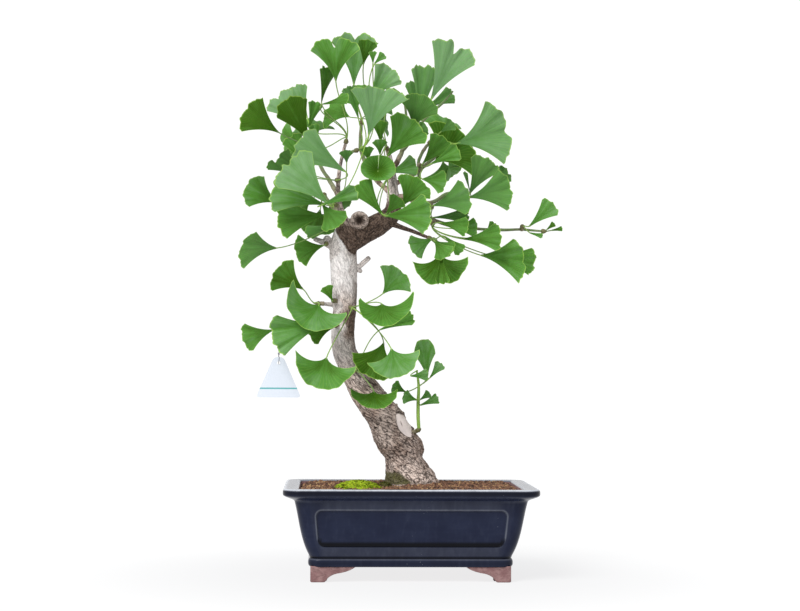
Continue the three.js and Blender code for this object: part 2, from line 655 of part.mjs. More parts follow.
// A spray is all the leaves of one spur, fused to its green bud.
// Its leaves are [x, z, y, aim, lean, roll, long, spread, cup, droop, notch], from the blade's base,
// then how much longer one side is, and how far the middle of the margin stands back, where it does.
const SPRAYS = [
  {
    name: 'leader', on: 'leader',
    leaves: [
      [-79, 519, -20, 92, 15, 0, 45, 40, 25, 10, 0.25],
      [-94, 496, -14, 82, 0, 55, 38, 26, 20, 0, 0],
      [-94, 494, -26, 8, 20, -50, 30, 26, 20, 0, 0],
      [-107, 469, 6, 75, 0, 20, 29, 19, 15, 0, 0],
      [-98, 449, -16, 100, 10, 30, 24, 19, 20, 0, 0],
    ],
  },
  {
    name: 'crest', on: 'spurTwig',
    leaves: [
      [-60, 515, 18, 89, 0, 0, 56, 30, 20, -8, 0.12],
      [-50, 537, 2, 81, 10, 20, 26, 30, 30, 0, 0],
      [-40, 539, 0, 92, 0, 0, 12, 26, 20, 0, 0],
      [-38, 538, -4, 45, 0, 0, 14, 24, 20, 0, 0],
      [-55, 480, -4, 106, 0, 30, 35, 20, 15, 0, 0],
      [-44, 435, 4, 100, 0, 0, 15, 36, 20, 0, 0],
    ],
  },
  {
    name: 'bright', from: [-76, 398, -6], at: [-73, 400, -12],
    leaves: [
      [-44, 462, -48, 77, 18, 0, 58, 36, 30, 10, 0, 0.06, 0.14],
      [-67, 433, -24, 95, 30, 0, 14, 36, 20, 0, 0],
    ],
  },
  {
    name: 'left_high', on: 'leftTwig',
    leaves: [
      [-139, 464, -20, 148, 10, 0, 43, 34, 30, 10, 0],
      [-115, 472, 24, 131, -10, 0, 43, 27, 15, 0, 0.1],
      [-109, 480, 38, 108, -10, 0, 38, 18, 10, 0, 0],
      [-106, 455, -36, 121, 25, 0, 52, 28, 70, 0, 0],
      [-107, 427, 34, 120, -15, 0, 42, 18, 10, 0, 0],
    ],
  },
  {
    name: 'left_broad', from: [-75, 414, -2], at: [-77, 414, -9],
    leaves: [
      [-68, 423, -54, 150, 10, 10, 58, 25, 35, 8, 0],
      [-113, 423, 12, 150, 0, 0, 30, 28, 15, 0, 0],
      [-130, 422, 6, 158, 0, 30, 22, 22, 15, 0, 0],
    ],
  },
  {
    name: 'left_front', from: [-75, 386, -6], at: [-78, 388, -14],
    leaves: [
      [-86, 389, -72, 136, 12, 0, 60, 29, 35, 12, 0.08],
      [-90, 388, -52, 164, 8, 0, 56, 26, 20, 8, 0],
      [-92, 388, -80, 22, 15, 15, 40, 16, 30, 0, 0],
      [-92, 388, -62, 305, 20, 0, 30, 36, 25, 0, 0],
      [-140, 390, -16, 155, 15, 0, 37, 40, 70, 0, 0],
      [-88, 377, -36, 186, 10, 0, 51, 27, 30, 10, 0],
    ],
  },
  {
    name: 'left_low', from: [-68, 369, -6], at: [-72, 368, -14],
    leaves: [
      [-140, 342, -32, 178, 10, 0, 38, 36, 25, 0, 0, -0.22],
      [-77, 368, -8, 200, 0, 50, 34, 26, 15, 0, 0],
    ],
  },
  {
    name: 'stub_leaf', from: [-88, 347.5, -3], at: [-88, 347, -7],
    leaves: [
      [-91, 345, -15, 194, 0, 0, 30, 38, 15, 0, 0],
    ],
  },
  {
    name: 'centre_high', from: [-22.5, 440, 2], at: [-24, 446.5, -1],
    leaves: [
      [-44, 500, -24, 52, 10, 0, 40, 29, 35, 0, 0],
      [-26, 486, 14, 62, 0, 0, 27, 29, 20, 0, 0],
      [-24, 440, -30, 52, 15, 0, 47, 34, 30, 0, 0],
      [-31, 453, -12, 95, 10, 0, 24, 22, 20, 0, 0],
      [-32, 442, -24, 92, 20, 0, 16, 34, 20, 0, 0],
    ],
  },
  {
    name: 'centre_front', from: [-19.5, 420, 3], at: [-22, 418, -6],
    leaves: [
      [-34, 424, -54, 268, 12, 0, 18, 177, 0, -20, 0],
      [-28, 377, -54, 128, 5, 0, 42, 20, 10, 0, 0],
      [-26, 377, -58, 2, 10, 0, 47, 29, 20, 0, 0],
      [-25, 379, -44, 50, 0, 0, 22, 30, 10, 0, 0],
      [-23, 422, -18, 18, 0, 0, 31, 24, 15, 0, 0],
    ],
  },
  {
    name: 'right_high', on: 'upRight',
    leaves: [
      [21.5, 500, -8, 64, 8, 0, 65, 26, 20, 0, 0.18],
      [9, 477, 20, 83, -5, 0, 61, 16, 15, 0, 0],
      [7, 480, 32, 98, -5, 0, 41, 12, 10, 0, 0],
      [1.5, 470, -20, 70, 25, 0, 38, 42, 60, 0, 0],
      [16, 492, 24, 27, 0, 0, 33, 19, 10, 0, 0],
      [3, 463, -30, 30, 20, 0, 17, 32, 20, 0, 0],
    ],
  },
  {
    name: 'right_far', on: 'inner',
    leaves: [
      [49, 454, -8, 16, 5, 0, 57, 41, 20, 10, 0.06],
      [32, 466, 4, 35, 0, 0, 17, 30, 30, 0, 0],
    ],
  },
  {
    name: 'right_inner', from: [9, 431, 1], at: [11.5, 430, -4],
    leaves: [
      [13, 432, -28, 50, 10, 30, 36, 30, 20, 0, 0],
      [21.5, 432, -42, 25, 15, 0, 33, 19, 20, 0, 0],
      [13, 416, -30, 350, 10, 0, 25, 34, 20, 0, 0],
      [26, 434, 14, 40, -10, 0, 45, 62, 20, 0, 0],
    ],
  },
  {
    name: 'right_centre', from: [-5, 397, 4], at: [-7, 392, -2],
    leaves: [
      [-8, 388, -24, 57, 10, 0, 33, 44, 25, 0, 0],
    ],
  },
  {
    name: 'right_mid', from: [21, 391, 0], at: [22.5, 387, -5],
    leaves: [
      [24, 388, -26, 15, 10, 0, 40, 31, 20, 0, 0],
      [24, 375.5, -14, 5, 0, 45, 38, 18, 10, 0, 0],
    ],
  },
  {
    name: 'right_tip', on: 'midRight',
    leaves: [
      [62, 400, -12, 62, 0, 0, 43, 26, 15, 0, 0],
      [62, 397, -28, 12, 8, 0, 45, 32, 20, 0, 0],
      [74, 404, 8, 35, -5, 0, 37, 18, 10, 0, 0],
      [63.5, 402, -24, 105, 0, 70, 23, 22, 10, 0, 0],
    ],
  },
  {
    name: 'right_low', from: [26, 372.5, 8], at: [24, 369, 0],
    leaves: [
      [32, 370, -30, 350, 15, 0, 30, 22, 15, 0, 0],
      [45, 364, -16, 3, 0, 0, 26, 26, 10, 0, 0],
      [57, 353, -30, 3, 10, 0, 39, 24, 15, 0, 0],
      [75, 336, -18, 355, 8, 0, 46, 33, 20, 15, 0, 0.12],
      [84.5, 336, 4, 352, -5, 0, 49, 19, 10, 0, 0],
      [79, 357, -6, 52, 0, 0, 17, 20, 10, 0, 0],
    ],
  },
  {
    name: 'hanging', on: 'lowRight',
    leaves: [
      [31, 337, -40, 276, 20, 0, 34, 74, 35, 10, 0.12],
      [33, 336, -66, 272, 15, 0, 31, 17, 50, 0, 0],
      [23.5, 353, -24, 207, 5, 0, 25, 36, 10, 0, 0],
      [26, 351, -62, 305, 25, 0, 23, 34, 30, 0, 0],
      [37, 355.5, -30, 318, 5, 0, 24, 20, 10, 0, 0],
      [24, 351, -40, 332, 10, 0, 24, 26, 10, 0, 0],
    ],
  },
  {
    name: 'long_tip', from: [118, 363.5, 0], at: [118.5, 366, -4],
    leaves: [
      [126, 367, -4, 43, 0, 0, 35, 22, 20, 0, 0],
      [127, 360, -6, 345, 0, 0, 14, 14, 20, -30, 0],
    ],
  },
  {
    name: 'twig_end', on: 'long',
    leaves: [
      [145, 364, -2, 40, 0, 0, 10, 22, 20, 0, 0],
      [150, 363, 0, 10, 0, 0, 12, 16, 20, 0, 0],
    ],
  },
  {
    name: 'trunk_spur', from: [-63, 280, -6], at: [-61.5, 280, -15],
    leaves: [
      [-28, 295, 0, 50, 0, 0, 31, 48, 25, 0, 0],
      [-29, 284, -34, 272, 44, 0, 33, 96, 45, 0, 0, -0.2],
      [-87, 227, -52, 256, 40, 0, 39, 74, 45, 10, 0],
      [-19, 237, -46, 284, 25, 0, 33, 68, 30, 0, 0],
      [-27, 243, -24, 250, 10, 0, 39, 52, 25, 0, 0],
    ],
  },
  {
    name: 'stub_pair', from: [-90, 284, -3], at: [-95, 284, -4],
    leaves: [
      [-112, 299, -6, 146, 5, 0, 35, 38, 15, 0, 0],
      [-95, 283, -32, 243, 40, 0, 38, 92, 45, 0, 0, 0.12],
    ],
  },
  {
    name: 'left_trunk', from: [-72, 262, -4], at: [-77, 261, -13],
    leaves: [
      [-89, 263, -40, 195, 10, 0, 56, 25, 25, 10, 0],
      [-143, 256, -18, 197, 0, 0, 33, 30, 15, 0, 0],
      [-80, 259, -22, 192, 0, 0, 26, 37, 10, 0, 0],
    ],
  },
  {
    name: 'low_spur', from: [-57, 214, -8], at: [-56, 214, -17],
    leaves: [
      [-37, 192, -40, 268, 54, 0, 30, 74, 45, 0, 0],
      [-31, 257, 16, 22, 0, 0, 38, 14, 10, 0, 0],
    ],
  },
  {
    name: 'small_left', from: [-74, 287, -6], at: [-79, 287, -11],
    leaves: [
      [-81, 287, -17, 115, 0, 0, 17, 28, 10, 0, 0],
    ],
  },
];

// A young shoot from low on the trunk, with a green stem of its own
SPRAYS.push({
  name: 'basal_shoot',
  from: [-2, 146, -4],
  at: [9, 151.5, -10],
  stem: [[10.5, 152.6, -10.6, 1.8], [9.6, 166, -12, 1.9], [9.6, 182, -11, 1.8], [10, 198, -10, 1.5],
    [8, 214, -9, 1]],
  leaves: [
    [19, 207, -12, 96, 0, 0, 28, 25, 15, 0, 0, 0, -0.45],
    [22, 207, -6, 52, 0, 0, 19, 22, 10, 0, 0],
    [2, 208.5, -18, 5, 0, 0, 18, 24, 15, 0, 0],
    [-4, 192, -8, 155, 0, 0, 15, 34, 15, 0, 0],
    [8, 183.5, -20, 165, 0, 0, 15, 34, 15, 0, 0],
    [12, 178, -14, 22, 0, 0, 21, 19, 40, 30, 0],
    [12, 184, -4, 35, 0, 0, 12, 27, 10, 0, 0],
  ],
});

// Sprays on the far side of the crown: leaves spread around each spur and out to the back
// [bough, number of leaves, first aim, last aim]
const BACK_SPURS = [
  ['backLeft', 4, 95, 215],
  ['backMid', 4, 15, 150],
  ['backRight', 5, -75, 80],
  ['backLow', 3, 200, 310],
];

function backLeaves([x, z, y], count, first, last, random) {
  return Array.from({ length: count }, (_, k) => {
    const aim = first + ((last - first) / (count - 1)) * k + 10 * (random() - 0.5);
    const away = 30 + 30 * random();
    const reach = 16 + 12 * random();
    const out = reach * Math.cos(away * DEG);
    return [x + out * Math.cos(aim * DEG), z + out * Math.sin(aim * DEG), y + reach * Math.sin(away * DEG),
      aim, -away, 30 * (random() - 0.5), 34 + 8 * random(), 38 + 12 * random(), -20, 10, 0.15 * random()];
  });
}

const backRandom = seeded(911);
for (const [on, count, first, last] of BACK_SPURS) {
  const name = on.replace('back', 'back_').toLowerCase();
  SPRAYS.push({ name, on, leaves: backLeaves(BOUGHS[on].at(-1), count, first, last, backRandom) });
}

const random = seeded(4127);

function leafFrom(row, root, leave) {
  const [x, z, y, aim, lean, roll, long, spread, cup, droop, notch, skew = 0, flat = 0] = row;
  return {
    base: place(x, z, y),
    axes: bladeAxes(aim, lean, roll),
    long,
    spread,
    cup,
    droop,
    notch,
    skew,
    flat,
    root,
    leave,
    phase: 6.28 * random(),
  };
}

// Sets a spray's leaves on its bud, or on the nearest joint of its stem
function grown(spray) {
  const { foot, along } = budFoot(spray);
  const bud = foot.clone().addScaledVector(along, CAP_LONG / 2);
  const joints = spray.stem ? spray.stem.map(([x, z, y]) => place(x, z, y)) : [bud];
  const leaves = spray.leaves.map((row) => {
    const base = place(row[0], row[1], row[2]);
    const near = joints.reduce((a, b) => (a.distanceTo(base) < b.distanceTo(base) ? a : b));
    return leafFrom(row, near, along);
  });
  return { ...spray, foot, along, leaves };
}

function buildSpray({ stem, foot, along, leaves }) {
  const tip = foot.clone().addScaledVector(along, CAP_LONG);
  const bud = rod(foot, tip, CAP_R, CAP_R * 0.7, 5);
  const stems = stem ? [limb(stem, 5, stem.length)] : [];
  return joined([bud, ...stems, ...leaves.map(leafSolid)]);
}

// ---------------------------------------------------------------- hang tag

// The thread's top end, just under the leaf's stalk and close behind its blade
function threadTop(leaf) {
  const [base, before] = stalkPath(leaf);
  const top = base.clone().lerp(before, 0.25);
  top.z -= STALK_W / 2 + 2 * GAP;
  return top;
}

function buildThread(top) {
  const sides = 8;
  const section = new THREE.Shape(Array.from({ length: sides }, (_, i) => {
    const turn = (i / sides) * 2 * Math.PI;
    return new THREE.Vector2(THREAD_R * Math.cos(turn), THREAD_R * Math.sin(turn));
  }));
  const low = top.clone();
  low.z -= THREAD_LONG;
  return solid(new THREE.ExtrudeGeometry(section, {
    steps: Math.round(THREAD_LONG / (5 * THREAD_R)),
    extrudePath: new THREE.LineCurve3(top, low),
  }));
}

function buildTag(top) {
  const shape = rounded([
    [-TAG_LOW / 2, -TAG_HIGH],
    [TAG_LOW / 2, -TAG_HIGH],
    [TAG_TOP / 2, 0],
    [-TAG_TOP / 2, 0],
  ], 4);
  const card = new THREE.ExtrudeGeometry(shape, {
    depth: TAG_THICK,
    bevelEnabled: false,
    curveSegments: 3,
  });
  card.rotateX(Math.PI / 2);
  card.translate(top.x, top.y + TAG_THICK / 2, top.z);
  const hole = new THREE.CylinderGeometry(TAG_HOLE_R, TAG_HOLE_R, 4 * TAG_THICK, 10);
  hole.translate(top.x, top.y, top.z - TAG_HOLE_DOWN);
  return solid(card).subtract(solid(hole));
}

// ---------------------------------------------------------------- assembly

const FINISH = {
  glaze: { color: 0x26293f, roughness: 0.22, metalness: 0 },
  soil: { color: 0x6e4434, roughness: 0.95, metalness: 0 },
  moss: { color: 0x7fae24, roughness: 0.95, metalness: 0 },
  bark: { color: 0x948880, roughness: 0.85, metalness: 0 },
  leaf: { color: 0x5d9a48, roughness: 0.55, metalness: 0 },
  plastic: { color: 0x1d1f20, roughness: 0.6, metalness: 0 },
  card: { color: 0xf2f4f4, roughness: 0.5, metalness: 0 },
  thread: { color: 0x8b9094, roughness: 0.7, metalness: 0 },
};

const bonsai = new THREE.Group();

function addNode(name, manifold, finish) {
  const mesh = new THREE.Mesh(geometryFrom(manifold), new THREE.MeshStandardMaterial(FINISH[finish]));
  mesh.name = name;
  bonsai.add(mesh);
}

const sprays = SPRAYS.map(grown);
const tagTop = threadTop(sprays.find((spray) => spray.name === 'left_trunk').leaves[1]);
const cardTop = tagTop.clone();
cardTop.z -= THREAD_LONG + GAP;

addNode('pot', buildPot(), 'glaze');
addNode('drain_mesh_left', buildScreen(-DRAIN_X), 'plastic');
addNode('drain_mesh_right', buildScreen(DRAIN_X), 'plastic');
addNode('soil', buildSoil(), 'soil');
addNode('moss_mound', dome(MOSS_AT[0], MOSS_AT[1], SOIL_TOP + GAP, MOSS_SIZE, 7), 'moss');
addNode('moss_patch', dome(PATCH_AT[0], PATCH_AT[1], SOIL_TOP + GAP, PATCH_SIZE, 19), 'moss');
addNode('trunk', buildWood(SPRAYS), 'bark');
for (const spray of sprays) {
  addNode(`spray_${spray.name}`, buildSpray(spray), 'leaf');
}
addNode('tag_thread', buildThread(tagTop), 'thread');
addNode('hang_tag', buildTag(cardTop), 'card');

// Set the origin under the middle of the whole, on the ground
const extent = new THREE.Box3().setFromObject(bonsai);
const middle = extent.getCenter(new THREE.Vector3());
for (const mesh of bonsai.children) {
  mesh.geometry.translate(-middle.x, -middle.y, -extent.min.z);
}

export default bonsai;
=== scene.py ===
import math
import random

import bmesh
import bpy
import numpy as np
from mathutils import Euler, Matrix, Vector, kdtree, noise


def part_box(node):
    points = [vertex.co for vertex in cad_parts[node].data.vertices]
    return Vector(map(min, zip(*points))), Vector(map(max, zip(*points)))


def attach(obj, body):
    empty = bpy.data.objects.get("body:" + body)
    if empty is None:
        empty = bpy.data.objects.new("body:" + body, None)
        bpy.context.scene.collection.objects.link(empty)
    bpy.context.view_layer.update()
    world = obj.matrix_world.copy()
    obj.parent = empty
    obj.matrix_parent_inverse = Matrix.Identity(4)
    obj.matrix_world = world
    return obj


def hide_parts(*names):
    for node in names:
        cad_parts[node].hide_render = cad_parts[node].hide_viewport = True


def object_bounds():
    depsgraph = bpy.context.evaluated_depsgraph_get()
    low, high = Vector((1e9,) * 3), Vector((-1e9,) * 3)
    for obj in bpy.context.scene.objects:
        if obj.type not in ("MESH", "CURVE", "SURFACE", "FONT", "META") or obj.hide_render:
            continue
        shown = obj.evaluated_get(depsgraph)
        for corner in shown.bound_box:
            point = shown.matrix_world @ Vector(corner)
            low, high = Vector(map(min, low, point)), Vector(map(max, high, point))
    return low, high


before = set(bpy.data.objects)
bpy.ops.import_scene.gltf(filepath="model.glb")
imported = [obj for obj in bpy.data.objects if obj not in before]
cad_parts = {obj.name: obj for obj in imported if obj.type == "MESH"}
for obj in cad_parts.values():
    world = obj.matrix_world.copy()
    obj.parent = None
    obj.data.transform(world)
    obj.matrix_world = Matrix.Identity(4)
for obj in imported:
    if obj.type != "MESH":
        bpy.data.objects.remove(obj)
CAD_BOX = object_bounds()

bl_info = {
    "name": "Ginkgo Bonsai",
    "version": (1, 0, 0),
    "blender": (4, 5, 0),
    "location": "3D View > Sidebar > Bonsai",
    "description": "Leaves, wood, moss, soil, glazed pot and hang tag around a ginkgo bonsai's frame",
    "category": "Object",
}

# ---------------------------------------------------------------- the frame's own sizes

# Shapes are worked out in millimetres about the middle of the pot, and moved
# to the frame's metres at the end.
POT_LOW, POT_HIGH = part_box("pot")
POT_AT = Vector(((POT_LOW.x + POT_HIGH.x) / 2, (POT_LOW.y + POT_HIGH.y) / 2, 0))
TO_FRAME = Matrix.Translation(POT_AT) @ Matrix.Scale(0.001, 4)
BOX_LOW = np.array((CAD_BOX[0] - POT_AT) * 1000)
BOX_HIGH = np.array((CAD_BOX[1] - POT_AT) * 1000)

# Between a piece and what it rests on or hangs from
GAP = 0.3

# Pot: its rim, its underside and floor, its feet, the panels in its walls (with half a panel's width at its
# top and at its foot) and its drain holes
RIM_LONG = 260
RIM_DEEP = 190
RIM_WIDE = 16
UNDERSIDE = 15.4
FLOOR_TOP = 24
FEET_HIGH = 15
FOOT_LONG = 47
FOOT_THICK = 17
FOOT_FLAT = 15
FOOT_INSET = 28.2
PANEL_LOW = 36.4
PANEL_TOP = 73
PANEL_DEEP = 2.2
PANEL_CORNER = 6.0
LONG_PANEL = (96.4, 93.3)
SHORT_PANEL = (61.4, 58.3)
DRAIN_R = 10
DRAIN_X = 58

# Soil, the stump that stands in it, and the two cushions of moss on it
SOIL_TOP = 93
SOIL_DIP = 4
ROOT_R = 29
ROOT_DEEP = 38
ROOT_X = 4
MOSS_AT = (-54, -50)
MOSS_SIZE = (24, 16, 6.5)
PATCH_AT = (-26, -23)
PATCH_SIZE = (7.5, 6.5, 6)
MOSS_SEAT = 17
CUSHIONS = ((MOSS_AT, MOSS_SIZE), (PATCH_AT, PATCH_SIZE))

# A leaf's stalk, a spray's bud and the tag's hole, with how far its middle is below the card's top edge
STALK_W = 1.6
CAP_LONG = 4
TAG_HOLE_R = 1.8
TAG_HOLE_DOWN = 6

# The front view is drawn from here, on the plane y = 0
EYE = np.array((-85.0, -1995.0, 217.0))

# Wood, as stations of [x, z, y, radius] in the front view
TRUNK = [
    [4, SOIL_TOP - ROOT_DEEP, 0, ROOT_R - 6],
    [4, 78, 0, ROOT_R - 1],
    [3.5, 97, 0, ROOT_R],
    [1.7, 104.5, 0, 26.2],
    [-2.2, 115.8, 0, 22.2],
    [-5.7, 123.3, 0, 19.6],
    [-9.5, 132, 0, 24.4],
    [-12.6, 140, 0, 25.2],
    [-16, 149, 0, 23.6],
    [-22, 160.5, 0, 21.2],
    [-32, 174, 0, 19.4],
    [-42, 187, 0, 16.4],
    [-51, 200, 0, 14.8],
    [-57.5, 212, 0, 14],
    [-63, 223, 0, 13],
    [-68, 234, 0, 12.4],
    [-70, 250, 0, 12.2],
    [-69.5, 262, 0, 12.2],
    [-68, 281, 0, 12.2],
    [-68.5, 301, 0, 13.4],
    [-69.5, 322, 0, 14.2],
    [-70, 342, 0, 14.4],
    [-66, 358, 0, 13.8],
    [-62, 368, 0, 9],
]

# Up to this height the rings of the trunk lie flat
TRUNK_LEVEL = 155

# The boughs that are carved into one with the trunk; the others are twigs
STOUT = ("right", "leader", "lowRight", "deadLeft", "deadRight", "greyStub")
DEAD = ("deadLeft", "deadRight", "greyStub")

BOUGHS = {
    "right": [[-64, 350, 0, 13], [-49, 360, 2, 13.5], [-33, 368, 4, 12], [-19, 380, 6, 9.6],
        [-18.5, 406, 6, 5.8], [-19.5, 425, 4, 4], [-22.5, 441, 2, 2.8]],
    "leader": [[-56, 350, -9, 6], [-66, 367, -10, 4.8], [-74, 386, -7, 3.4], [-76, 404, -3, 2.6],
        [-74, 428, 0, 2.1], [-70, 446, 0, 1.9], [-68, 454, 0, 1.8]],
    "lowRight": [[-26, 372, 2, 4.4], [-12, 366, 0, 2.8], [2.5, 361, -4, 2.2], [14, 356.5, -8, 1.9],
        [20, 354, -10, 1.8]],
    "midRight": [[-18.5, 397, 6, 3.8], [-2, 397, 4, 2.6], [21, 391, 0, 2.2], [41, 401, 0, 1.9],
        [57, 398.5, -1, 1.8]],
    "upRight": [[-19.5, 422, 4, 3.2], [-8, 446, 4, 2.2], [0, 462, 4, 1.9]],
    "inner": [[0, 397, 4, 2.4], [9, 414, 0, 2], [9, 435, 2, 1.8], [15, 448, 4, 1.7], [20, 454, 3, 1.7]],
    "long": [[0, 396, 4, 2.4], [11, 381, 8, 2.2], [26, 372.5, 8, 2], [48, 366, 6, 1.8], [71, 364, 4, 1.6],
        [95, 363, 2, 1.5], [118, 363.5, 0, 1.4], [140, 362, 0, 1.2]],
    "leftTwig": [[-74, 425, 0, 2], [-82, 435, -3, 1.7], [-87, 438.5, -5, 1.6]],
    "spurTwig": [[-71, 440, 0, 1.8], [-62, 444, -3, 1.6], [-57.5, 445.5, -6, 1.6]],
    "topTwig": [[-7, 447, 4, 2], [4, 461, 12, 1.6], [14, 478, 13, 1.5], [34, 497, 10, 1.3],
        [44.5, 509, 8, 1]],
    "tipTwig": [[-9, 444, 4, 2.4], [-4, 470, 8, 1.5], [-7, 503, 10, 1]],
    "deadLeft": [[-76, 340, 0, 5], [-84, 345, -1, 3.6], [-100, 352, -3, 2.8]],
    "deadRight": [[-60, 318, 0, 4], [-54, 322.5, 0, 2.8], [-43, 332.5, 0, 2.7]],
    "greyStub": [[-72, 281, 0, 4], [-82, 283, -1, 2.4], [-92, 284, -3, 2]],
    "backLeft": [[-76, 398, -3, 2.6], [-84, 412, 18, 2.2], [-96, 432, 36, 1.9], [-100, 452, 47, 1.8]],
    "backMid": [[-22, 402, 6, 3], [-40, 420, 22, 2.4], [-52, 446, 34, 2], [-52, 474, 42, 1.8]],
    "backRight": [[-18, 410, 6, 3], [2, 420, 24, 2.4], [22, 436, 42, 2], [32, 446, 52, 1.8]],
    "backLow": [[-72, 381, -7, 2.6], [-84, 388, 15, 2.1], [-90, 398, 28, 1.8]],
}

# Swellings of the wood, as [[x, z, y], radius]
KNOBS = [
    [[-87, 352, -4], 4.2],
    [[-52, 318.5, -2], 2.6],
    [[-53, 372, -10], 9],
    [[-17, 177, -6], 4.6],
    [[-80, 268, -2], 4.4],
    [[-49, 352, -6], 5],
]

